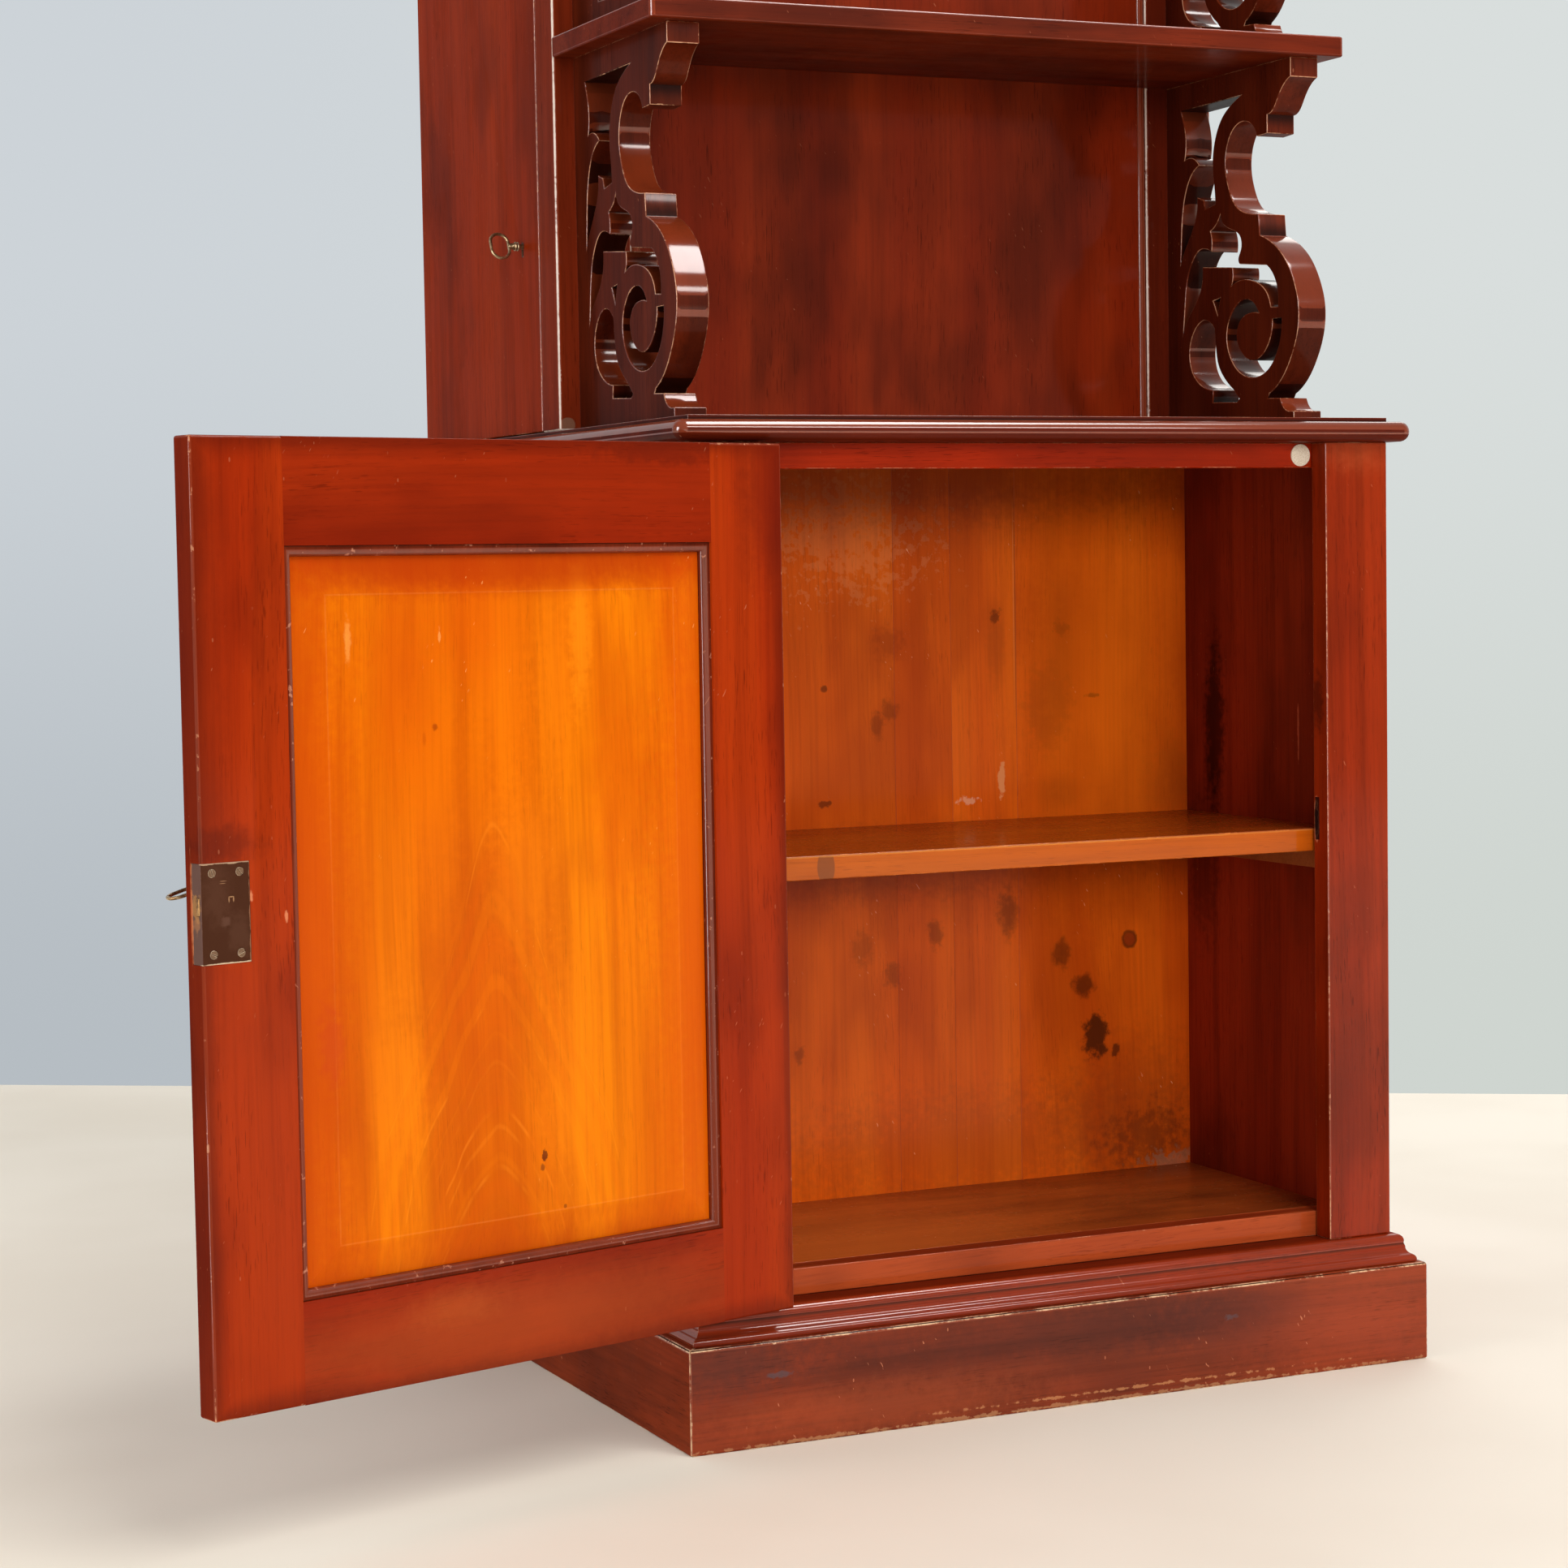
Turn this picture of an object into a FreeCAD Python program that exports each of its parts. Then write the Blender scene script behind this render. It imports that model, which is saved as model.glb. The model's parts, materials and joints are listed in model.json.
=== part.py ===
import FreeCAD, Part
import os

os.makedirs("parts", exist_ok=True)
Vector = FreeCAD.Vector

# Narrow cabinet in millimetres: X to the right, Y to the back, Z up.
# The origin is under the middle of the plinth's front board, half way through its thickness.

# Plinth
plinth_width = 740.0
plinth_height = 90.0
plinth_board = 24.0
plinth_projection = 24.0
plinth_arris = 1.5
base_depth = 700.0

# Moulded frame between plinth and carcase
moulding_height = 25.0
moulding_reach = 17.0
moulding_width = 60.0

# Base carcase and cupboard opening
opening_height = 730.0
pilaster_width = 66.0
pilaster_thickness = 23.0
base_side_thickness = 33.0
bottom_rail_height = 23.0
head_rail_height = 22.0
rail_thickness = 22.0
floor_thickness = 18.0
back_board_thickness = 12.0
back_board_count = 5
tier_depth = 298.0
base_back_thickness = 12.0
closing_gap = 0.3
buffer_radius = 10.0
buffer_thickness = 1.5
buffer_inset = 1.4

# Cupboard shelf on side battens
shelf_top = 354.8
shelf_thickness = 21.0
shelf_setback = 3.75
shelf_play = 0.3
batten_width = 15.0
batten_height = 18.0
batten_setback = 24.0

# Moulded top boards
nose_height = 18.0
nose_reach = 17.5
nose_flat = 0.15
nose_corner_radius = 10.0
step_height = 4.0

# Display tiers
display_board = 18.5
display_overhang = 12.0
display_corner_radius = 5.0
display_edge_radius = 2.0
bracket_thickness = 30.0
bracket_inset = 20.0
bracket_depth = 222.0
bracket_height = 335.0
upper_bracket_depth = 177.0
upper_bracket_height = 300.0
crown_height = 90.0

# Upper cabinet
stile_width = 74.0
stile_thickness = 20.0
side_strip_depth = 24.5
bead_width = 8.0
panel_setback = 2.0
upper_panel_thickness = 14.0
rear_post_width = 36.0
rear_post_depth = 60.0
upper_back_thickness = 12.0
inner_shelf_count = 2
inner_shelf_thickness = 18.0
inner_shelf_play = 1.8
inner_batten = 20.0

# Front door
door_gap = 1.7
door_foot_gap = 1.3
door_head_gap = 3.0
door_thickness = 23.0
hinge_stile_width = 75.5
lock_stile_width = 77.5
door_top_rail_height = 81.0
door_bottom_rail_height = 78.5
door_panel_tongue = 6.0
door_panel_thickness = 10.0
door_panel_bevel = 29.0
door_groove_depth = 8.0
door_bead_width = 8.0
door_bead_setback = 2.0
door_open_angle = 164.8

# Side doors
side_door_thickness = 19.0
side_door_gap = 1.0
side_leaf_gap = 1.2

# Butt hinges
hinge_length = 75.0
hinge_inset = 70.0
knuckle_count = 5
knuckle_gap = 0.3
knuckle_radius = 3.2
hinge_pin_radius = 1.5
hinge_pin_play = 0.05
hinge_proud = 1.5
leaf_thickness = 1.5
leaf_width = 19.0
knuckle_clearance = 0.4
side_hinge_count = 3
front_hinge_count = 2

# Locks
lock_height = 75.0
front_lock_width = 41.0
side_lock_width = 60.0
lock_depth = 14.0
lock_wall = 1.6
edge_plate = 2.5
front_lock_centre = 402.5
side_key_height = 174.0
front_backset = 26.0
side_backset = 42.5
key_rise = 10.0
bolt_throw = 7.0
bolt_height = 13.0
bolt_thickness = 4.6
bolt_cover = 3.4
bolt_head = 17.0
bolt_tail_height = 7.5
bolt_tail_past_key = 10.0
bolt_rise = 5.5
bolt_play = 0.15
strike_height = 39.0
strike_play = 1.0
strike_end_gap = 5.0
screw_head_radius = 3.2
screw_head_height = 1.4
screw_shank_radius = 1.4
screw_bite = 3.0
screw_edge = 9.5
screw_inner_edge = 8.3
screw_slot_turns = (65, 15, 110, 40)
screw_end = 7.5
screw_slot = 0.8
screw_play = 0.05

# Keys and keyholes
key_shaft_radius = 2.1
front_key_out = 40.0
side_key_out = 13.5
key_bow_height = 28.0
key_bow_width = 20.0
key_bow_rod = 1.4
front_bow_turn = 105
side_bow_turn = -25
key_bit_length = 8.0
key_bit_width = 3.2
key_bit_thickness = 1.8
key_neck_length = 5.6
key_neck_radius = 3.4
key_collar_radius = 4.2
key_collar_width = 1.4
key_collar_pitch = 2.4
keyhole_play = 0.4
escutcheon_rim = 1.6
escutcheon_thickness = 2.0
key_end_gap = 0.3

cut_over = 1.0

# Levels and planes that follow from the sizes
strike_depth = bolt_throw + strike_end_gap
plinth_front_y = -plinth_board / 2
carcase_y = plinth_front_y + plinth_projection
rear_y = plinth_front_y + base_depth
plinth_half = plinth_width / 2
carcase_half = plinth_half - plinth_projection
opening_half = carcase_half - pilaster_width
base_inner_half = carcase_half - base_side_thickness
opening_bottom = plinth_height + moulding_height
opening_top = opening_bottom + opening_height
pilaster_back_y = carcase_y + pilaster_thickness
door_inner_y = carcase_y + door_thickness
rail_y = door_inner_y + closing_gap + buffer_thickness
upper_y = carcase_y + tier_depth
floor_top = opening_bottom + bottom_rail_height
base_top_z = opening_top + nose_height + step_height
lower_shelf_z = base_top_z + bracket_height
upper_foot_z = lower_shelf_z + display_board
upper_shelf_z = upper_foot_z + upper_bracket_height
crown_z = upper_shelf_z + display_board + crown_height

# Base moulding in shares of its reach and its height
moulding_shares = [
    [(0, 1)], [(0.2, 1)],
    [(0.42, 0.93), (0.51, 0.68)],
    [(0.58, 0.54)],
    [(0.66, 0.36), (0.82, 0.28)],
    [(0.97, 0.2), (1, 0)],
]

# Door moulding in shares of its width and height: upper side, round edge, foot against the panel
door_bead_shares = [[(0, 0)], [(1, 0)], [(1, 0.33)], [(0.75, 0.85), (0.3, 1)], [(0, 1)], [(0, 0)]]

# Bracket pattern in shares of its depth and height, measured from the foot of its rear edge.
# Each run goes on from the last point: one point is a line, two an arc, more a curve.
bracket_profile_shares = [
    [(0, 0)], [(0, 1)], [(0.991, 1)], [(0.991, 0.946)],
    [(0.95, 0.934), (0.896, 0.899), (0.86, 0.869), (0.811, 0.857)],
    [(0.811, 0.806)], [(0.73, 0.803)],
    [(0.685, 0.842), (0.617, 0.854), (0.541, 0.836), (0.495, 0.794), (0.482, 0.731), (0.505, 0.678),
     (0.559, 0.624), (0.644, 0.597), (0.739, 0.588)],
    [(0.748, 0.528)],
    [(0.829, 0.507), (0.923, 0.463), (1, 0.394), (1.041, 0.31), (1.027, 0.239), (0.982, 0.179),
     (0.905, 0.119), (0.815, 0.084)],
    [(0.802, 0.072)], [(0.896, 0.069)],
    [(0.923, 0.042), (0.982, 0.03)],
    [(1, 0.03)], [(1, 0)], [(0, 0)],
]
upper_leaf_shares = [
    [(0.122, 0.925)], [(0.604, 0.928)],
    [(0.532, 0.91), (0.455, 0.878), (0.396, 0.818), (0.378, 0.761), (0.387, 0.699), (0.396, 0.639)],
    [(0.315, 0.63)], [(0.302, 0.657)], [(0.248, 0.669)],
    [(0.239, 0.615), (0.203, 0.573), (0.153, 0.531), (0.108, 0.484)],
    [(0.122, 0.597), (0.149, 0.678), (0.198, 0.731), (0.27, 0.758)],
    [(0.221, 0.782), (0.149, 0.782)],
    [(0.162, 0.83), (0.149, 0.881), (0.122, 0.925)],
]
middle_leaf_shares = [
    [(0.437, 0.606)],
    [(0.401, 0.579), (0.356, 0.564)],
    [(0.369, 0.537), (0.365, 0.504)],
    [(0.315, 0.516), (0.27, 0.516), (0.216, 0.493), (0.171, 0.448), (0.144, 0.376), (0.126, 0.284)],
    [(0.18, 0.334), (0.257, 0.385), (0.284, 0.421), (0.288, 0.466)],
    [(0.532, 0.451)],
    [(0.536, 0.424), (0.523, 0.4)],
    [(0.595, 0.412), (0.685, 0.406), (0.766, 0.385), (0.829, 0.325)],
    [(0.883, 0.322)],
    [(0.874, 0.382), (0.797, 0.442)],
    [(0.586, 0.457)],
    [(0.577, 0.472), (0.599, 0.499), (0.595, 0.531), (0.523, 0.558), (0.437, 0.606)],
]
volute_shares = [
    [(0.595, 0.352)],
    [(0.523, 0.322), (0.482, 0.263), (0.505, 0.203), (0.577, 0.155), (0.689, 0.134), (0.802, 0.152),
     (0.883, 0.209), (0.91, 0.29)],
    [(0.842, 0.29)],
    [(0.824, 0.239), (0.761, 0.194), (0.676, 0.182), (0.595, 0.209), (0.559, 0.26), (0.59, 0.299),
     (0.662, 0.316), (0.734, 0.313)],
    [(0.676, 0.349), (0.595, 0.352)],
]
lower_leaf_shares = [
    [(0.297, 0.313)],
    [(0.225, 0.29), (0.18, 0.239), (0.198, 0.17), (0.27, 0.128), (0.369, 0.11)],
    [(0.365, 0.075)], [(0.559, 0.069)], [(0.577, 0.078)], [(0.527, 0.107)],
    [(0.459, 0.14), (0.41, 0.182), (0.392, 0.233), (0.383, 0.284)],
    [(0.347, 0.304), (0.297, 0.313)],
]
notch_shares = [[(0.432, 0.37)], [(0.374, 0.364)], [(0.41, 0.322)], [(0.432, 0.37)]]


def block(x0, x1, y0, y1, z0, z1):
    return Part.makeBox(x1 - x0, y1 - y0, z1 - z0, Vector(x0, y0, z0))


def prism(points, z0, z1):
    spots = [Vector(x, y, z0) for x, y in points]
    return Part.Face(Part.makePolygon(spots + spots[:1])).extrude(Vector(0, 0, z1 - z0))


def outline_face(runs, place):
    edges = []
    last = place(*runs[0][0])
    for run in runs[1:]:
        spots = [last] + [place(*point) for point in run]
        if len(run) == 1:
            edges.append(Part.makeLine(*spots))
        elif len(run) == 2:
            edges.append(Part.Arc(*spots).toShape())
        else:
            curve = Part.BSplineCurve()
            curve.interpolate(spots)
            edges.append(curve.toShape())
        last = spots[-1]
    return Part.Face(Part.Wire(edges))


def mirrored(shape):
    return shape.mirror(Vector(0, 0, 0), Vector(1, 0, 0))


def moved(shape, x, y, z, turn):
    copy = shape.copy()
    copy.rotate(Vector(0, 0, 0), Vector(0, 0, 1), turn)
    copy.translate(Vector(x, y, z))
    return copy


def save(name, solids):
    shape = solids[0] if len(solids) == 1 else Part.makeCompound(solids)
    shape.exportStep("parts/" + name + ".step")


def rounded_board(half, front, back, z0, height, corner_radius, edge_radius):
    corner = Vector(corner_radius - half, front + corner_radius, z0)
    left_arc = Part.makeCylinder(corner_radius, height, corner)
    body = block(-half, half, front + corner_radius, back, z0, z0 + height)
    lip = block(corner_radius - half, half - corner_radius, front, back, z0, z0 + height)
    board = body.fuse([lip, left_arc, mirrored(left_arc)]).removeSplitter()
    edges = []
    for edge in board.Edges:
        box = edge.BoundBox
        if box.ZLength < edge_radius / 2 and box.YMin < back - corner_radius / 2:
            edges.append(edge)
    return board.makeFillet(edge_radius, edges)


def moulded_board(half, front, back, z0):
    nose_radius = nose_height / 2 - nose_flat
    nose = rounded_board(half + nose_reach, front - nose_reach, back, z0, nose_height,
                         nose_corner_radius, nose_radius)
    step = block(-half, half, front, back, z0 + nose_height, z0 + nose_height + step_height)
    return nose.fuse(step).removeSplitter()


# Plinth boards, mitred at the front corners, with softened upper edges
def plinth():
    inner_half = plinth_half - plinth_board
    inner_y = plinth_front_y + plinth_board
    front_plan = [(-plinth_half, plinth_front_y), (plinth_half, plinth_front_y),
                  (inner_half, inner_y), (-inner_half, inner_y)]
    left_plan = [(-plinth_half, plinth_front_y), (-inner_half, inner_y),
                 (-inner_half, rear_y), (-plinth_half, rear_y)]
    front = prism(front_plan, 0, plinth_height)
    left = prism(left_plan, 0, plinth_height)
    middle_x = -inner_half - plinth_board / 2
    middle_y = inner_y - plinth_board / 2
    middle_z = plinth_height / 2
    front_arris = [edge for edge in front.Edges
                   if edge.BoundBox.YMax < middle_y and edge.BoundBox.ZMin > middle_z]
    left_arris = [edge for edge in left.Edges
                  if edge.BoundBox.XMax < middle_x and edge.BoundBox.ZMin > middle_z]
    front = front.makeChamfer(plinth_arris, front_arris)
    left = left.makeChamfer(plinth_arris, left_arris)
    save("plinth_front", [front])
    save("plinth_left", [left])
    save("plinth_right", [mirrored(left)])
    save("plinth_back", [block(-inner_half, inner_half, rear_y - plinth_board, rear_y, 0, plinth_height)])


# Moulded frame: one profile run along the front and both sides
def base_moulding():
    closing = [[(-moulding_width / moulding_reach, 0)], [(-moulding_width / moulding_reach, 1)], [(0, 1)]]
    reach = moulding_reach + cut_over
    start_x = -carcase_half - reach
    start_y = carcase_y - reach

    def front_point(p, h):
        return Vector(start_x, carcase_y - p * moulding_reach, plinth_height + h * moulding_height)

    def left_point(p, h):
        return Vector(-carcase_half - p * moulding_reach, start_y, plinth_height + h * moulding_height)

    front_run = outline_face(moulding_shares + closing, front_point).extrude(Vector(-2 * start_x, 0, 0))
    left_run = outline_face(moulding_shares + closing, left_point).extrude(Vector(0, rear_y - start_y, 0))
    inner_x = carcase_half - moulding_width
    inner_y = carcase_y + moulding_width
    front_plan = [(start_x, start_y), (-start_x, start_y), (inner_x, inner_y), (-inner_x, inner_y)]
    left_plan = [(start_x, start_y), (-inner_x, inner_y), (-inner_x, rear_y), (start_x, rear_y)]
    front = front_run.common(prism(front_plan, plinth_height, opening_bottom))
    left = left_run.common(prism(left_plan, plinth_height, opening_bottom))
    save("base_moulding_front", [front])
    save("base_moulding_left", [left])
    save("base_moulding_right", [mirrored(left)])


# A butt hinge about the Z axis: the moving leaf is on the +X side, both leaves run towards +Y
def hinge(gap):
    leaf_start = knuckle_radius + knuckle_clearance
    bore = Part.makeCylinder(hinge_pin_radius + hinge_pin_play, hinge_length)
    pitch = hinge_length / knuckle_count

    def leaf(first):
        plate = block(gap / 2, gap / 2 + leaf_thickness, leaf_start, leaf_width, 0, hinge_length)
        knuckles = []
        for index in range(first, knuckle_count, 2):
            z0 = index * pitch + (knuckle_gap if index else 0)
            z1 = (index + 1) * pitch - (knuckle_gap if index < knuckle_count - 1 else 0)
            knuckles.append(Part.makeCylinder(knuckle_radius, z1 - z0, Vector(0, 0, z0)))
            knuckles.append(block(gap / 2, gap / 2 + leaf_thickness, 0, leaf_start, z0, z1))
        return plate.fuse(knuckles).cut(bore).removeSplitter()

    moving = leaf(1)
    fixed = mirrored(leaf(0))
    pin = Part.makeCylinder(hinge_pin_radius, hinge_length)
    barrel = Part.makeCylinder(knuckle_radius + knuckle_clearance, hinge_length)
    seat = barrel.fuse(block(0, gap / 2 + leaf_thickness, 0, leaf_width, 0, hinge_length))
    return {"moving": moving, "fixed": fixed, "pin": pin, "moving_seat": seat, "fixed_seat": mirrored(seat)}


# A keyhole outline through the wood: a round hole with a slot below, along -Y
def keyhole(x, z, grow, y0, y1):
    radius = key_shaft_radius + keyhole_play + grow
    half_slot = key_bit_thickness / 2 + keyhole_play + grow
    hole = Part.makeCylinder(radius, y1 - y0, Vector(x, y0, z), Vector(0, 1, 0))
    slot_end = z - key_bit_length - keyhole_play - grow
    return hole.fuse(block(x - half_slot, x + half_slot, y0, y1, slot_end, z))


def screw(x, z, tip_y, slot_turn):
    inward = Vector(0, 1, 0)
    head_y = -screw_head_height
    head = Part.makeCylinder(screw_head_radius, screw_head_height, Vector(x, head_y, z), inward)
    shank = Part.makeCylinder(screw_shank_radius, head_y - tip_y, Vector(x, tip_y, z), inward)
    slot = block(x - screw_slot / 2, x + screw_slot / 2, -screw_head_height / 2, cut_over,
                 z - screw_head_radius - cut_over, z + screw_head_radius + cut_over)
    slot.rotate(Vector(x, 0, z), inward, slot_turn)
    return head.fuse(shank).cut(slot).removeSplitter()


# A let-in lock at its door's free edge. X = 0 is the edge, Y = 0 the inner face, Z = 0 the lock's middle.
def lock(width, backset, wood, key_out, bow_turn):
    half = lock_height / 2
    bolt_y1 = -bolt_cover
    bolt_y0 = bolt_y1 - bolt_thickness
    bolt_z0 = bolt_rise - bolt_height / 2
    bolt_z1 = bolt_rise + bolt_height / 2
    case = block(-width, 0, -lock_depth, 0, -half, half)
    room = block(lock_wall - width, -edge_plate, lock_wall - lock_depth, -lock_wall,
                 lock_wall - half, half - lock_wall)
    gate = block(-edge_plate - cut_over, cut_over, bolt_y0 - bolt_play, bolt_y1 + bolt_play,
                 bolt_z0 - bolt_play, bolt_z1 + bolt_play)
    hole = keyhole(-backset, key_rise, 0, -lock_depth - cut_over, -lock_depth / 2)
    case = case.cut(room).cut([gate, hole])

    tail_end = -backset - bolt_tail_past_key
    bolt = block(-bolt_head, 0, bolt_y0, bolt_y1, bolt_z0, bolt_z1)
    bolt = bolt.fuse(block(tail_end, -bolt_head, bolt_y0, bolt_y1, bolt_z0, bolt_z0 + bolt_tail_height))
    bolt = bolt.removeSplitter()

    screws = []
    seats = []
    tip_y = -lock_depth - screw_bite
    levels = (screw_end - half, half - screw_end)
    spots = [(x, z) for x in (-screw_edge, screw_inner_edge - width) for z in levels]
    for (x, z), turn in zip(spots, screw_slot_turns):
        screws.append(screw(x, z, tip_y, turn))
        seats.append(Part.makeCylinder(screw_head_radius + screw_play, screw_head_height + cut_over,
                                       Vector(x, -screw_head_height - screw_play, z), Vector(0, 1, 0)))
        seats.append(Part.makeCylinder(screw_shank_radius + screw_play, cut_over - tip_y,
                                       Vector(x, tip_y, z), Vector(0, 1, 0)))
    case = case.cut(seats)

    outer_y = -wood
    rim = keyhole(-backset, key_rise, escutcheon_rim, outer_y, outer_y + escutcheon_thickness)
    inner_hole = keyhole(-backset, key_rise, 0, outer_y - cut_over, -lock_depth / 2)
    escutcheon = rim.cut(inner_hole)

    seat = block(-width, cut_over, -lock_depth, cut_over, -half, half)
    seat = seat.fuse([rim, inner_hole] + seats)
    return {"case": case, "bolt": bolt, "screws": screws, "escutcheon": escutcheon,
            "key": key(backset, outer_y - key_out, bow_turn), "seat": seat}


# Key in the lock: its shaft runs along Y out of the door's outer face, the bow is turned about it
def key(backset, shaft_end, bow_turn):
    centre = Vector(-backset, 0, key_rise)
    inner_end = -lock_wall - key_end_gap
    inward = Vector(0, 1, 0)
    shaft_foot = centre + Vector(0, shaft_end, 0)
    shaft = Part.makeCylinder(key_shaft_radius, inner_end - shaft_end, shaft_foot, inward)
    bit_y0 = lock_wall - lock_depth + key_end_gap
    bit_half = key_bit_thickness / 2
    bit = block(-backset - bit_half, -backset + bit_half, bit_y0, bit_y0 + key_bit_width,
                key_rise - key_bit_length, key_rise)
    neck = Part.makeCone(key_shaft_radius, key_neck_radius, key_neck_length, shaft_foot, inward)
    collars = []
    for index in range(2):
        collar_foot = shaft_foot + Vector(0, key_neck_length + index * key_collar_pitch, 0)
        collars.append(Part.makeCylinder(key_collar_radius, key_collar_width, collar_foot, inward))
    ring_radius = key_bow_width / 2 - key_bow_rod
    ring_y = shaft_end - ring_radius
    rise = key_bow_height / 2 - key_bow_width / 2
    bow = []
    for side in (1, -1):
        ring_centre = centre + Vector(0, ring_y, side * rise)
        ring = Part.makeTorus(ring_radius, key_bow_rod, ring_centre, Vector(1, 0, 0))
        half_space = block(-backset - key_bow_width, -backset + key_bow_width,
                           ring_y - key_bow_width, ring_y + key_bow_width, 0, key_bow_height)
        half_space.translate(Vector(0, 0, key_rise + (rise if side > 0 else -rise - key_bow_height)))
        bow.append(ring.common(half_space))
        rod_foot = centre + Vector(0, ring_y + side * ring_radius, -rise)
        bow.append(Part.makeCylinder(key_bow_rod, 2 * rise, rod_foot))
    for strip in bow:
        strip.rotate(centre, inward, bow_turn)
    return shaft.fuse([bit, neck] + collars + bow).removeSplitter()


# Front door, drawn closed and then turned open about its hinge pin
door_x0 = -opening_half + door_gap
door_x1 = opening_half - door_gap
door_z0 = opening_bottom + door_foot_gap
door_z1 = opening_top - door_head_gap
front_pin_x = -opening_half + door_gap / 2
front_pin_y = carcase_y - hinge_proud
front_lock_z = plinth_height + front_lock_centre
strike_z = front_lock_z + key_rise


def opened(shape):
    copy = shape.copy()
    copy.rotate(Vector(front_pin_x, front_pin_y, 0), Vector(0, 0, 1), -door_open_angle)
    return copy


def spaced(low, high, length, count):
    step = (high - low - length) / (count - 1)
    return [low + index * step for index in range(count)]


front_hinge_levels = spaced(door_z0 + hinge_inset, door_z1 - hinge_inset, hinge_length, front_hinge_count)


# Small mitred moulding round a panel: width along the face, height away from the panel
def panel_moulding(x0, x1, z0, z1, panel_y, height, outward):
    width = door_bead_width
    rise = outward * height
    strips = []

    def profile(place):
        return outline_face(door_bead_shares, lambda w, h: place(w * width, panel_y + h * rise))

    low = profile(lambda w, y: Vector(x0, y, z0 + w)).extrude(Vector(x1 - x0, 0, 0))
    high = profile(lambda w, y: Vector(x0, y, z1 - w)).extrude(Vector(x1 - x0, 0, 0))
    left = profile(lambda w, y: Vector(x0 + w, y, z0)).extrude(Vector(0, 0, z1 - z0))
    right = profile(lambda w, y: Vector(x1 - w, y, z0)).extrude(Vector(0, 0, z1 - z0))
    plans = [(low, [(x0, z0), (x1, z0), (x1 - width, z0 + width), (x0 + width, z0 + width)]),
             (high, [(x0, z1), (x1, z1), (x1 - width, z1 - width), (x0 + width, z1 - width)]),
             (left, [(x0, z0), (x0, z1), (x0 + width, z1 - width), (x0 + width, z0 + width)]),
             (right, [(x1, z0), (x1, z1), (x1 - width, z1 - width), (x1 - width, z0 + width)])]
    for strip, plan in plans:
        spots = [Vector(x, min(panel_y, panel_y + rise), z) for x, z in plan]
        wedge = Part.Face(Part.makePolygon(spots + spots[:1])).extrude(Vector(0, height, 0))
        strips.append(strip.common(wedge))
    return strips


def front_door():
    y0 = carcase_y
    y1 = door_inner_y
    inner_x0 = door_x0 + hinge_stile_width
    inner_x1 = door_x1 - lock_stile_width
    inner_z0 = door_z0 + door_bottom_rail_height
    inner_z1 = door_z1 - door_top_rail_height
    tongue_y0 = (y0 + y1 - door_panel_tongue) / 2
    tongue_y1 = tongue_y0 + door_panel_tongue
    groove_x0 = inner_x0 - door_groove_depth
    groove_x1 = inner_x1 + door_groove_depth
    groove_z0 = inner_z0 - door_groove_depth
    groove_z1 = inner_z1 + door_groove_depth
    groove = block(groove_x0, groove_x1, tongue_y0, tongue_y1, groove_z0, groove_z1)

    hinge_stile = block(door_x0, inner_x0, y0, y1, door_z0, door_z1).cut(groove)
    lock_stile = block(inner_x1, door_x1, y0, y1, door_z0, door_z1).cut(groove)
    top_rail = block(inner_x0, inner_x1, y0, y1, inner_z1, door_z1).cut(groove)
    bottom_rail = block(inner_x0, inner_x1, y0, y1, door_z0, inner_z0).cut(groove)

    bevel_start = door_bead_width
    field_start = door_bead_width + door_panel_bevel
    field_y = tongue_y0 + door_panel_thickness
    loops = []
    for margin, y in ((bevel_start, tongue_y1), (field_start, field_y)):
        corners = [(inner_x0 + margin, inner_z0 + margin), (inner_x1 - margin, inner_z0 + margin),
                   (inner_x1 - margin, inner_z1 - margin), (inner_x0 + margin, inner_z1 - margin)]
        spots = [Vector(x, y, z) for x, z in corners]
        loops.append(Part.makePolygon(spots + spots[:1]))
    field = Part.makeLoft(loops, True, True)
    panel = groove.fuse(field).removeSplitter()

    bead_height = y1 - tongue_y1 - door_bead_setback
    beads = panel_moulding(inner_x0, inner_x1, inner_z0, inner_z1, tongue_y1, bead_height, 1)
    beads = beads + panel_moulding(inner_x0, inner_x1, inner_z0, inner_z1, tongue_y0, bead_height, -1)

    leaves = []
    for z in front_hinge_levels:
        parts = hinge(door_gap)
        hinge_stile = hinge_stile.cut(moved(parts["moving_seat"], front_pin_x, front_pin_y, z, 0))
        leaves.append(moved(parts["moving"], front_pin_x, front_pin_y, z, 0))

    fittings = lock(front_lock_width, front_backset, door_thickness, front_key_out, front_bow_turn)
    spot = (door_x1, y1, front_lock_z, 0)
    lock_stile = lock_stile.cut(moved(fittings["seat"], *spot))

    save("door_hinge_stile", [opened(hinge_stile)])
    save("door_lock_stile", [opened(lock_stile)])
    save("door_top_rail", [opened(top_rail)])
    save("door_bottom_rail", [opened(bottom_rail)])
    save("door_panel", [opened(panel)])
    save("door_panel_beads", [opened(bead) for bead in beads])
    save("door_hinge_leaves", [opened(leaf) for leaf in leaves])
    save("door_lock_case", [opened(moved(fittings["case"], *spot))])
    save("door_lock_bolt", [opened(moved(fittings["bolt"], *spot))])
    save("door_lock_screws", [opened(moved(part, *spot)) for part in fittings["screws"]])
    save("door_escutcheon", [opened(moved(fittings["escutcheon"], *spot))])
    save("door_key", [opened(moved(fittings["key"], *spot))])


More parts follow.
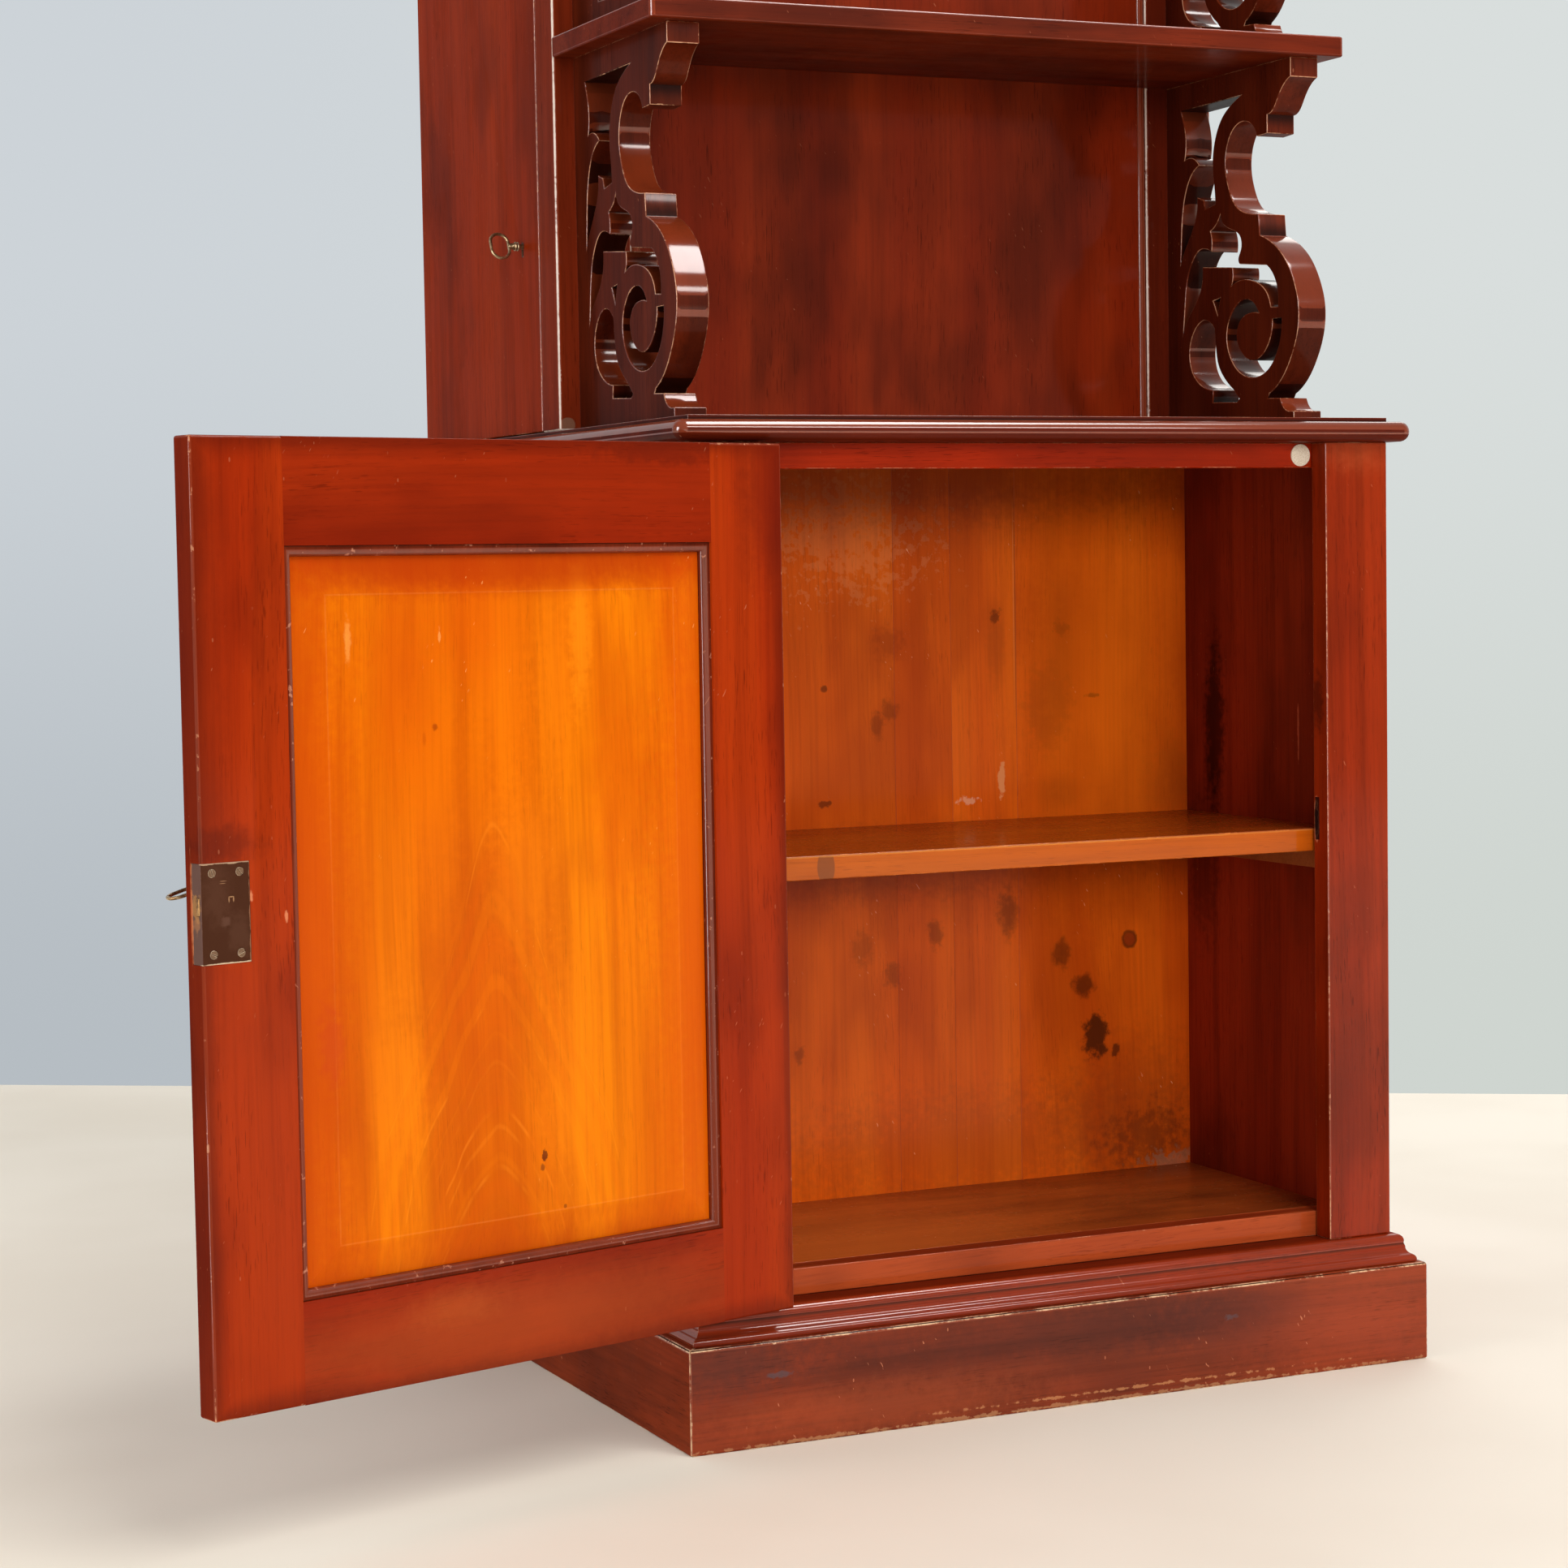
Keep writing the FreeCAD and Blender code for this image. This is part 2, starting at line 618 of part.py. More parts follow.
# Base carcase with the cupboard
def base_carcase():
    side_y0 = pilaster_back_y
    side = block(-carcase_half, -base_inner_half, side_y0, rear_y, opening_bottom, opening_top)
    pilaster = block(-carcase_half, -opening_half, carcase_y, pilaster_back_y, opening_bottom, opening_top)
    left_pilaster = pilaster
    for z in front_hinge_levels:
        seat = moved(hinge(door_gap)["fixed_seat"], front_pin_x, front_pin_y, z, 0)
        left_pilaster = left_pilaster.cut(seat)
    strike_y1 = door_inner_y - bolt_cover + strike_play
    strike_y0 = door_inner_y - bolt_cover - bolt_thickness - strike_play
    strike = block(opening_half - cut_over, opening_half + strike_depth, strike_y0, strike_y1,
                   strike_z - strike_height / 2, strike_z + strike_height / 2)
    save("base_side_left", [side])
    save("base_side_right", [mirrored(side)])
    save("pilaster_left", [left_pilaster])
    save("pilaster_right", [mirrored(pilaster).cut(strike)])

    inner = base_inner_half
    rail_back_y = rail_y + rail_thickness
    board_back_y = upper_y + back_board_thickness
    save("cupboard_bottom_rail", [block(-inner, inner, rail_y, rail_back_y, opening_bottom, floor_top)])
    head_z0 = opening_top - head_rail_height
    save("cupboard_head_rail", [block(-inner, inner, rail_y, rail_back_y, head_z0, opening_top)])
    floor_z0 = floor_top - floor_thickness
    save("cupboard_floor", [block(-inner, inner, rail_back_y, upper_y, floor_z0, floor_top)])
    board_width = 2 * inner / back_board_count
    boards = []
    for index in range(back_board_count):
        x0 = index * board_width - inner
        boards.append(block(x0, x0 + board_width, upper_y, board_back_y, opening_bottom, opening_top))
    save("cupboard_back_boards", boards)

    shelf_z1 = floor_top + shelf_top
    shelf_z0 = shelf_z1 - shelf_thickness
    shelf_half = inner - shelf_play
    shelf_y0 = door_inner_y + shelf_setback
    shelf = block(-shelf_half, shelf_half, shelf_y0, upper_y - shelf_play, shelf_z0, shelf_z1)
    save("cupboard_shelf", [shelf])
    batten_y0 = door_inner_y + batten_setback
    batten_z0 = shelf_z0 - batten_height
    batten = block(-inner, batten_width - inner, batten_y0, upper_y, batten_z0, shelf_z0)
    save("cupboard_shelf_battens", [batten, mirrored(batten)])

    buffer_x = opening_half - buffer_inset - buffer_radius
    buffer_z = opening_top - head_rail_height / 2
    buffer_spot = Vector(buffer_x, rail_y - buffer_thickness, buffer_z)
    save("door_buffer", [Part.makeCylinder(buffer_radius, buffer_thickness, buffer_spot, Vector(0, 1, 0))])
    panel_y = rear_y - base_back_thickness
    save("base_back_panel", [block(-inner, inner, panel_y, rear_y, opening_bottom, opening_top)])
    save("base_top", [moulded_board(carcase_half, carcase_y, rear_y, opening_top)])


# Upper cabinet behind the display tiers
side_inner_x = carcase_half - side_door_thickness
post_x = side_inner_x - side_leaf_gap
side_door_y0 = upper_y + stile_thickness + side_strip_depth + side_door_gap
side_door_z0 = base_top_z + side_door_gap
side_door_z1 = crown_z - side_door_gap
side_pin_x = side_inner_x - side_leaf_gap / 2
side_pin_y = rear_y + hinge_proud
side_lock_z = base_top_z + side_key_height - key_rise
side_hinge_levels = spaced(side_door_z0 + hinge_inset, side_door_z1 - hinge_inset,
                           hinge_length, side_hinge_count)


def upper_cabinet():
    strip_x = carcase_half - stile_thickness
    strip_y1 = upper_y + stile_thickness + side_strip_depth
    post_back_y = upper_y + stile_thickness
    post = block(-carcase_half, stile_width - carcase_half, upper_y, post_back_y, base_top_z, crown_z)
    strip = block(-carcase_half, -strip_x, upper_y, strip_y1, base_top_z, crown_z)
    strike_x0 = -side_inner_x - bolt_cover - bolt_thickness - strike_play
    strike_x1 = -side_inner_x - bolt_cover + strike_play
    strike_mid = side_lock_z + key_rise
    strike = block(strike_x0, strike_x1, strip_y1 - strike_depth, strip_y1 + cut_over,
                   strike_mid - strike_height / 2, strike_mid + strike_height / 2)
    post = post.fuse(strip).removeSplitter().cut(strike)
    save("upper_post_left", [post])
    save("upper_post_right", [mirrored(post)])

    panel_half = carcase_half - stile_width - bead_width
    panel_y = upper_y + panel_setback
    panel_back_y = panel_y + upper_panel_thickness
    save("upper_front_panel", [block(-panel_half, panel_half, panel_y, panel_back_y, base_top_z, crown_z)])
    bead_radius = bead_width / 2
    bead_x = panel_half + bead_radius
    bead_y = upper_y + bead_radius
    bead_round = Part.makeCylinder(bead_radius, crown_z - base_top_z, Vector(bead_x, bead_y, base_top_z))
    bead_back = block(panel_half, panel_half + bead_width, bead_y, panel_back_y, base_top_z, crown_z)
    bead = bead_back.fuse(bead_round).removeSplitter()
    save("upper_panel_beads", [bead, mirrored(bead)])

    post_y0 = rear_y - rear_post_depth
    rear_post = block(-post_x, rear_post_width - post_x, post_y0, rear_y, base_top_z, crown_z)
    for z in side_hinge_levels:
        seat = moved(hinge(side_leaf_gap)["fixed_seat"], -side_pin_x, side_pin_y, z, 180)
        rear_post = rear_post.cut(seat)
    save("rear_posts", [rear_post, mirrored(rear_post)])
    back_half = post_x - rear_post_width
    back_y = rear_y - upper_back_thickness
    save("upper_back_panel", [block(-back_half, back_half, back_y, rear_y, base_top_z, crown_z)])
    save("upper_top_board", [moulded_board(carcase_half, upper_y, rear_y, crown_z)])

    shelves = []
    battens = []
    bay = (crown_z - base_top_z) / (inner_shelf_count + 1)
    shelf_half = post_x - inner_shelf_play
    shelf_y0 = upper_y + stile_thickness + shelf_play
    for index in range(inner_shelf_count):
        z1 = base_top_z + bay * (index + 1)
        z0 = z1 - inner_shelf_thickness
        shelf = block(-shelf_half, shelf_half, shelf_y0, back_y - shelf_play, z0, z1)
        notch = block(-shelf_half - cut_over, rear_post_width - post_x + shelf_play,
                      post_y0 - shelf_play, rear_y, z0 - cut_over, z1 + cut_over)
        shelves.append(shelf.cut([notch, mirrored(notch)]))
        foot_z = z0 - inner_batten
        batten_y1 = panel_back_y + inner_batten
        battens.append(block(-panel_half, panel_half, panel_back_y, batten_y1, foot_z, z0))
        battens.append(block(-back_half, back_half, back_y - inner_batten, back_y, foot_z, z0))
    save("inner_shelves", shelves)
    save("inner_shelf_battens", battens)


# Side doors that open outwards on hinges at the rear posts
def side_doors():
    door = block(-carcase_half, -side_inner_x, side_door_y0, rear_y, side_door_z0, side_door_z1)
    leaves = []
    for z in side_hinge_levels:
        parts = hinge(side_leaf_gap)
        door = door.cut(moved(parts["moving_seat"], -side_pin_x, side_pin_y, z, 180))
        leaves.append(moved(parts["moving"], -side_pin_x, side_pin_y, z, 180))
    fittings = lock(side_lock_width, side_backset, side_door_thickness, side_key_out, side_bow_turn)
    spot = (-side_inner_x, side_door_y0, side_lock_z, -90)
    door = door.cut(moved(fittings["seat"], *spot))
    case = moved(fittings["case"], *spot)
    bolt = moved(fittings["bolt"], *spot)
    turned_key = moved(fittings["key"], *spot)
    lock_group = [case, moved(fittings["escutcheon"], *spot)]
    lock_group = lock_group + [moved(part, *spot) for part in fittings["screws"]]
    save("side_door_left", [door])
    save("side_door_right", [mirrored(door)])
    save("side_door_left_hinge_leaves", leaves)
    save("side_door_right_hinge_leaves", [mirrored(leaf) for leaf in leaves])
    save("side_lock_left", lock_group)
    save("side_lock_right", [mirrored(part) for part in lock_group])
    save("side_bolt_left", [bolt])
    save("side_bolt_right", [mirrored(bolt)])
    save("side_key_left", [turned_key])
    save("side_key_right", [mirrored(turned_key)])


# Fixed halves of all hinges, and their pins
def fixed_hinge_parts():
    leaves = []
    pins = []
    for z in front_hinge_levels:
        parts = hinge(door_gap)
        leaves.append(moved(parts["fixed"], front_pin_x, front_pin_y, z, 0))
        pins.append(moved(parts["pin"], front_pin_x, front_pin_y, z, 0))
    for z in side_hinge_levels:
        parts = hinge(side_leaf_gap)
        for piece, group in ((parts["fixed"], leaves), (parts["pin"], pins)):
            left = moved(piece, -side_pin_x, side_pin_y, z, 180)
            group.append(left)
            group.append(mirrored(left))
    save("hinge_fixed_leaves", leaves)
    save("hinge_pins", pins)


# Pierced scroll brackets and the display shelves that they carry
def bracket(depth, height, z0):
    outer_x = bracket_inset - carcase_half

    def place(d, h):
        return Vector(outer_x, upper_y - d * depth, z0 + h * height)

    face = outline_face(bracket_profile_shares, place)
    holes = [upper_leaf_shares, middle_leaf_shares, volute_shares, lower_leaf_shares, notch_shares]
    board = face.extrude(Vector(bracket_thickness, 0, 0))
    cutters = []
    for hole in holes:
        cutter = outline_face(hole, place).extrude(Vector(bracket_thickness + 2 * cut_over, 0, 0))
        cutter.translate(Vector(-cut_over, 0, 0))
        cutters.append(cutter)
    return board.cut(cutters)


def display_tiers():
    lower = bracket(bracket_depth, bracket_height, base_top_z)
    upper = bracket(upper_bracket_depth, upper_bracket_height, upper_foot_z)
    save("bracket_lower_left", [lower])
    save("bracket_lower_right", [mirrored(lower)])
    save("bracket_upper_left", [upper])
    save("bracket_upper_right", [mirrored(upper)])
    for name, depth, z0 in (("display_shelf_lower", bracket_depth, lower_shelf_z),
                            ("display_shelf_upper", upper_bracket_depth, upper_shelf_z)):
        front = upper_y - depth - display_overhang
        board = rounded_board(carcase_half, front, upper_y, z0, display_board,
                              display_corner_radius, display_edge_radius)
        save(name, [board])


plinth()
base_moulding()
base_carcase()
front_door()
upper_cabinet()
side_doors()
fixed_hinge_parts()
display_tiers()
print("front pin", front_pin_x, front_pin_y)
print("side pin", side_pin_x, side_pin_y)
print("front lock", door_x1, door_inner_y, front_lock_z)
print("side lock", -side_inner_x, side_door_y0, side_lock_z)
print("heights", opening_top, base_top_z, lower_shelf_z, upper_shelf_z, crown_z)
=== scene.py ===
import bpy, bmesh, json, math
from mathutils import Matrix, Vector
from mathutils.bvhtree import BVHTree

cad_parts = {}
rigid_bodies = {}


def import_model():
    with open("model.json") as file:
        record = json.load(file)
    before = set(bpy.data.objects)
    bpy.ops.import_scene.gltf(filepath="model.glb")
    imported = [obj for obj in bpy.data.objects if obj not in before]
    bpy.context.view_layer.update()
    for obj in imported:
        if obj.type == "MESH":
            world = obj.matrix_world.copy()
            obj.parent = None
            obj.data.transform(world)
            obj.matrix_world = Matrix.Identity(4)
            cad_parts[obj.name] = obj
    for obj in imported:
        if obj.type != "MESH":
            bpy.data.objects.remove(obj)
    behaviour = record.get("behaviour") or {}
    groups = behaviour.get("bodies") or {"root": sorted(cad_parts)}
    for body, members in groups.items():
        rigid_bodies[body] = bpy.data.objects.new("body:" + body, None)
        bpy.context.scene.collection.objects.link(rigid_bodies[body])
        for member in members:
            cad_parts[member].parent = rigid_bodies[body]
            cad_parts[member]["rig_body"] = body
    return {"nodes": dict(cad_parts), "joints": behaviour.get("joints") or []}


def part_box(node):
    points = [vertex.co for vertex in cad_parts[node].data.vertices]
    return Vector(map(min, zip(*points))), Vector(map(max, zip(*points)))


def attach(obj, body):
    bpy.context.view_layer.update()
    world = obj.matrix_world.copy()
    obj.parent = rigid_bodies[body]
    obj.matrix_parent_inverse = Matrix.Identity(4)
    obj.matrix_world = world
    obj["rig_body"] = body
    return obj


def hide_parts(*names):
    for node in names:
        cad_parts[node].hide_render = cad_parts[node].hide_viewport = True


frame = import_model()
nodes = frame["nodes"]
scene = bpy.context.scene
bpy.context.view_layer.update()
mm = 0.001
print("frame loaded:", len(nodes), "nodes")

# The front door rests open: this turn carries it back to its closed place, where its boards are upright
doorSwing = next(joint for joint in frame["joints"] if joint["name"] == "front_door_swing")
doorPin = Vector(doorSwing["pos_m"])
doorTurn = Matrix.Rotation(math.radians(doorSwing["range_deg"][1]), 4, "Z")
closeDoor = Matrix.Translation(doorPin) @ doorTurn @ Matrix.Translation(-doorPin)
openDoor = closeDoor.inverted()


# The helpers below add to one shader tree, that of the group, material or world begun last
shading = {}


def plug(socket, value):
    if isinstance(value, bpy.types.NodeSocket):
        shading["tree"].links.new(value, socket)
    else:
        socket.default_value = value


def fill(sockets, values):
    for name, value in values.items():
        plug(sockets[name], value)


def addNode(kind, inputs=None, **settings):
    node = shading["tree"].nodes.new("ShaderNode" + kind)
    for name, value in settings.items():
        setattr(node, name, value)
    fill(node.inputs, inputs or {})
    return node.outputs


def layer(name):
    return addNode("Attribute", attribute_name=name)["Fac"]


def calc(operation, first, second=0.0, third=0.0):
    return addNode("Math", {0: first, 1: second, 2: third}, operation=operation)[0]


def times(first, second):
    return calc("MULTIPLY", first, second)


def timesPlus(first, second, third):
    return calc("MULTIPLY_ADD", first, second, third)


def vectorCalc(operation, first, second=(0, 0, 0)):
    made = addNode("VectorMath", {0: first, 1: second}, operation=operation)
    return made["Value" if operation in ("LENGTH", "DOT_PRODUCT") else "Vector"]


def partsOf(vector):
    return addNode("SeparateXYZ", {0: vector})


def ease(value, low, high, start=0.0, end=1.0):
    return addNode("MapRange", {"Value": value, "From Min": low, "From Max": high, "To Min": start,
                                "To Max": end}, interpolation_type="SMOOTHSTEP")[0]


def blend(factor, first, second, mode="MIX"):
    return addNode("Mix", {0: factor, 6: first, 7: second}, data_type="RGBA", blend_type=mode)[2]


def noise(vector, along, scale, detail=2.0, roughness=0.55):
    # along: how often the pattern changes along Z, as a share of how often it does across
    spread = addNode("Mapping", {"Vector": vector, "Scale": (1, 1, along)})[0]
    return addNode("TexNoise", {"Vector": spread, "Scale": scale, "Detail": detail, "Roughness": roughness})[0]


vectorSockets = ("Vector", "Centre", "Half", "Size")
colourSockets = ("Color", "Pale", "Main", "Deep", "Worn", "Bright", "Dark")


def startGroup(name, inputs, outputs):
    group = shading["tree"] = bpy.data.node_groups.new(name, "ShaderNodeTree")
    for labels, way in ((inputs, "INPUT"), (outputs, "OUTPUT")):
        for label in labels.split():
            kind = "Vector" if label in vectorSockets else "Color" if label in colourSockets else "Float"
            group.interface.new_socket(label, in_out=way, socket_type="NodeSocket" + kind)
    return group, group.nodes.new("NodeGroupInput").outputs, group.nodes.new("NodeGroupOutput").inputs


def useGroup(group, inputs):
    return addNode("Group", inputs, node_tree=group)


def rgb(red, green, blue):
    # 0 to 255 as a paint chart gives them, turned linear
    def linear(share):
        return share / 12.92 if share <= 0.04045 else ((share + 0.055) / 1.055) ** 2.4
    return tuple(linear(value / 255) for value in (red, green, blue)) + (1.0,)


def metres(values):
    return [value * mm for value in values]


# Grain that runs along Z: drifting clouds, broad bands, soft streaks, fibres and short dark pores
def makeWoodGrain():
    group, given, made = startGroup("woodGrain", "Vector Pale Main Deep Clouds Bands Streaks Fibres Pores",
                                    "Color Dull Height")
    shift = vectorCalc("MULTIPLY", layer("boardTone"), (3.7, 1.9, 5.3))
    start = vectorCalc("ADD", given["Vector"], shift)
    sway = calc("SUBTRACT", noise(start, 0.3, 3.2, 1.0), 0.5)
    grain = vectorCalc("ADD", start, vectorCalc("MULTIPLY", sway, (0.07, 0.05, 0)))
    bands = noise(grain, 0.09, 13, 2.0)
    streaks = noise(grain, 0.03, 60, 3.0, 0.6)
    fibres = noise(grain, 0.02, 330, 2.0)
    pores = noise(grain, 0.06, 900, 1.0)
    cloud = noise(start, 0.45, 8, 3.0, 0.6)
    poreDrift = ease(noise(start, 0.3, 20, 2.0), 0.4, 0.62, 0.25, 1.0)
    colour = blend(times(ease(bands, 0.36, 0.66), given["Bands"]), given["Main"], given["Pale"])
    streakShare = times(ease(streaks, 0.42, 0.72), given["Streaks"])
    colour = blend(streakShare, colour, given["Deep"])
    colour = blend(times(ease(cloud, 0.44, 0.68), given["Clouds"]), colour, given["Deep"])
    fibreShare = times(ease(fibres, 0.42, 0.72), given["Fibres"])
    colour = blend(fibreShare, colour, given["Deep"])
    poreShare = times(times(ease(pores, 0.6, 0.7), poreDrift), given["Pores"])
    darkPore = blend(1.0, given["Deep"], (0.45, 0.4, 0.4, 1.0), "MULTIPLY")
    colour = blend(poreShare, colour, darkPore)
    fill(made, {"Color": colour, "Dull": calc("ADD", times(streakShare, 0.4), poreShare),
                "Height": calc("ADD", times(poreShare, -1.0), times(fibres, 0.35))})
    return group


# Old polish gathers dark towards the rim of a frame or board, in drifts
def makeOldPolish():
    group, given, made = startGroup("oldPolish", "Vector Centre Half Reach Share", "Mask")
    away = vectorCalc("ABSOLUTE", vectorCalc("SUBTRACT", given["Vector"], given["Centre"]))
    parts = partsOf(vectorCalc("SUBTRACT", given["Half"], away))
    rim = calc("MINIMUM", parts[0], parts[2])
    drift = noise(given["Vector"], 0.6, 11, 3.0, 0.6)
    reach = times(times(drift, 2.0), given["Reach"])
    mask = ease(calc("DIVIDE", rim, reach), 1.0, 0.0)
    plug(made["Mask"], times(mask, given["Share"]))
    return group


# Pale lines on the softened arrises, partly real wear and partly painted highlight, broken up so that they come
# and go
def makeArrisWearAndGlint():
    group, given, made = startGroup("arrisWearAndGlint", "Vector Color Worn Amount Chips", "Color Mask")
    arris = layer("arris")
    fine = noise(given["Vector"], 1, 240, 3.0, 0.6)
    coarse = noise(given["Vector"], 1, 24, 2.0)
    rubbed = calc("ADD", times(fine, 0.8), coarse)
    limit = timesPlus(given["Amount"], -0.75, 1.2)
    mask = ease(calc("SUBTRACT", times(arris, rubbed), limit), 0.0, 0.3)
    chipping = noise(given["Vector"], 1, 95, 3.0, 0.7)
    chip = times(ease(chipping, 0.62, 0.68), given["Chips"])
    mask = calc("MAXIMUM", mask, times(chip, ease(arris, 0.02, 0.3)))
    fill(made, {"Color": blend(mask, given["Color"], given["Worn"]), "Mask": mask})
    return group


# One stain, knot or chip: a soft or ragged patch with its centre and size in metres
def makeMark():
    group, given, made = startGroup("mark", "Vector Centre Size Ragged Soft", "Mask")
    away = vectorCalc("SUBTRACT", given["Vector"], given["Centre"])
    reach = vectorCalc("LENGTH", vectorCalc("DIVIDE", away, given["Size"]))
    edge = calc("SUBTRACT", noise(given["Vector"], 1, 130, 3.0, 0.6), 0.5)
    reach = timesPlus(times(edge, 2.2), given["Ragged"], reach)
    low, high = (calc(side, 1.0, given["Soft"]) for side in ("SUBTRACT", "ADD"))
    plug(made["Mask"], calc("SUBTRACT", 1.0, ease(reach, low, high)))
    return group


# Growth rings cut as arches that stand on the grain, apex up
def makeArches():
    group, given, made = startGroup("arches", "Vector Centre Curve Rings", "Level Tone")
    away = vectorCalc("SUBTRACT", given["Vector"], given["Centre"])
    parts = partsOf(away)
    wander = calc("SUBTRACT", noise(given["Vector"], 0.35, 16, 2.0), 0.5)
    across = timesPlus(wander, 0.024, parts[0])
    lift = times(calc("POWER", calc("ABSOLUTE", across), 1.7), given["Curve"])
    lift = times(lift, ease(parts[2], 0.28, 0.56, 0.8, 2.0))
    level = calc("ADD", parts[2], lift)
    level = timesPlus(wander, 0.03, level)
    rings = addNode("TexNoise", {"W": level, "Scale": given["Rings"], "Detail": 3.0}, noise_dimensions="1D")[0]
    fill(made, {"Level": level, "Tone": rings})
    return group


# Fine scratches across the polish, and small pale upright ticks that are painted glints
def makeScratchesAndGlints():
    group, given, made = startGroup("scratchesAndGlints", "Vector Scratches Specks", "Mask Smears")
    leaning = addNode("Mapping", {"Vector": given["Vector"], "Rotation": (0.3, 0.5, 0.4)})[0]
    lines = noise(leaning, 0.025, 420, 1.0)
    patches = noise(given["Vector"], 1, 13, 2.0)
    scratch = times(ease(lines, 0.74, 0.79), ease(patches, 0.52, 0.62))
    # painted glints: short upright pale ticks
    upright = addNode("Mapping", {"Vector": given["Vector"], "Scale": (1, 1, 0.4)})[0]
    cells = addNode("TexVoronoi", {"Vector": upright, "Scale": 110.0})
    picked = addNode("SeparateColor", {0: cells["Color"]})
    tick = calc("LESS_THAN", cells["Distance"], times(picked[1], 0.1))
    tick = times(tick, calc("GREATER_THAN", picked[0], 0.86))
    dot = times(tick, ease(patches, 0.4, 0.6, 0.2, 1.0))
    mask = calc("ADD", times(scratch, given["Scratches"]), times(dot, given["Specks"]))
    plug(made["Mask"], mask)
    plug(made["Smears"], ease(noise(given["Vector"], 0.5, 24, 4.0, 0.65), 0.4, 0.7))
    return group


# Tarnish on brass: dark in the hollows, bright where hands and edges rub
def makeTarnish():
    group, given, made = startGroup("tarnish", "Vector Bright Dark Age", "Color Dull Height")
    arris = layer("arris")
    blotch = noise(given["Vector"], 1, 180, 4.0, 0.65)
    grit = noise(given["Vector"], 1, 1400, 2.0)
    worn = timesPlus(arris, 0.45, timesPlus(grit, 0.25, blotch))
    bare = ease(calc("SUBTRACT", worn, given["Age"]), 0.0, 0.35)
    fill(made, {"Color": blend(bare, given["Dark"], given["Bright"]), "Dull": calc("SUBTRACT", 1.0, bare),
                "Height": timesPlus(grit, 0.6, blotch)})
    return group


woodGrain = makeWoodGrain()
oldPolish = makeOldPolish()
arrisWearAndGlint = makeArrisWearAndGlint()
mark = makeMark()
arches = makeArches()
scratchesAndGlints = makeScratchesAndGlints()
tarnish = makeTarnish()
print("shader groups made:", len(bpy.data.node_groups))


def startMaterial(name, onDoor=False):
    # what belongs to the open door is coloured as it lies when the door is closed
    material = bpy.data.materials.new(name)
    material.use_nodes = True
    shading["tree"] = material.node_tree
    place = addNode("TexCoord")["Object"]
    if onDoor:
        place = addNode("Mapping", {"Vector": place, "Location": closeDoor.to_translation(),
                                    "Rotation": closeDoor.to_euler()})[0]
    return material, material.node_tree.nodes["Principled BSDF"].inputs, place


def fromLook(look, names):
    # sockets filled from a look: colours turned linear, numbers as they are
    chosen = {name: look[name.lower()] for name in names.split()}
    return {name: rgb(*value) if isinstance(value, tuple) else value for name, value in chosen.items()}


def bumps(strength, distance, height):
    return addNode("Bump", {"Strength": strength, "Distance": distance * mm, "Height": height})[0]


def addMarks(vector, colour, marks):
    # each mark: centre and size in millimetres, colour, share, raggedness, softness
    for centre, size, tint, share, ragged, soft in marks:
        mask = useGroup(mark, {"Vector": vector, "Centre": metres(centre), "Size": metres(size),
                               "Ragged": ragged, "Soft": soft})["Mask"]
        colour = blend(times(mask, share), colour, rgb(*tint))
    return colour


grainTurns = {"up": Matrix(), "across": Matrix.Rotation(math.radians(-90), 4, "Y"),
              "deep": Matrix.Rotation(math.radians(90), 4, "X")}


def polishedWood(name, look, grain="up", seed=0.0, marks=(), onDoor=False, figure=None, rim=None):
    material, shader, place = startMaterial(name, onDoor)
    turned = addNode("Mapping", {"Vector": place, "Location": (seed, seed * 0.7, seed * 1.3),
                                 "Rotation": grainTurns[grain].to_euler()})[0]
    wood = useGroup(woodGrain, {"Vector": turned,
                                **fromLook(look, "Pale Main Deep Clouds Bands Streaks Fibres Pores")})
    colour = wood["Color"]
    if figure:
        colour = figure(place, colour)
    if rim:
        grime = useGroup(oldPolish, {"Vector": place, "Centre": metres(rim["centre"]),
                                     "Half": metres(rim["half"]), "Reach": rim["reach"] * mm,
                                     "Share": rim["share"]})["Mask"]
        colour = blend(grime, colour, rgb(*rim["tone"]))
    colour = addMarks(place, colour, marks)
    # painted shade: colour is darkened towards the crease shade tone on corners next to inward edges and in the
    # piercings
    hollow = ease(layer("grime"), 0.1, 0.9, 0.0, 0.85)
    colour = blend(hollow, colour, rgb(*look["grime"]))
    curved = layer("polish")
    # painted highlight: curved faces are blended towards a warm tone that stands in for the sheen of their
    # polish
    rubbed = ease(curved, 0.7, 1.0, 0.0, look["rubbed"])
    colour = blend(rubbed, colour, rgb(*look["rubbedTone"]))
    scratchGlint = useGroup(scratchesAndGlints, {"Vector": place, **fromLook(look, "Scratches Specks")})
    # scratches and painted glints both take the scratch colour
    colour = blend(scratchGlint["Mask"], colour, rgb(*look["scratch"]))
    worn = useGroup(arrisWearAndGlint, {"Vector": place, "Color": colour, "Amount": look["wear"],
                                **fromLook(look, "Worn Chips")})
    dull = timesPlus(wood["Dull"], 0.12, look["roughness"])
    dull = timesPlus(scratchGlint["Smears"], 0.08, dull)
    gloss = timesPlus(curved, look["edgeGloss"], look["coat"])
    spent = timesPlus(worn["Mask"], -0.5, timesPlus(wood["Dull"], -0.4, 1.0))
    fill(shader, {
        "Base Color": worn["Color"], "Roughness": timesPlus(worn["Mask"], 0.25, dull),
        "Coat Weight": times(gloss, spent), "Coat Roughness": look["coatRoughness"], "Coat IOR": 1.7,
        "Specular IOR Level": look["specular"], "Normal": bumps(look["bump"], 0.4, wood["Height"])})
    return material


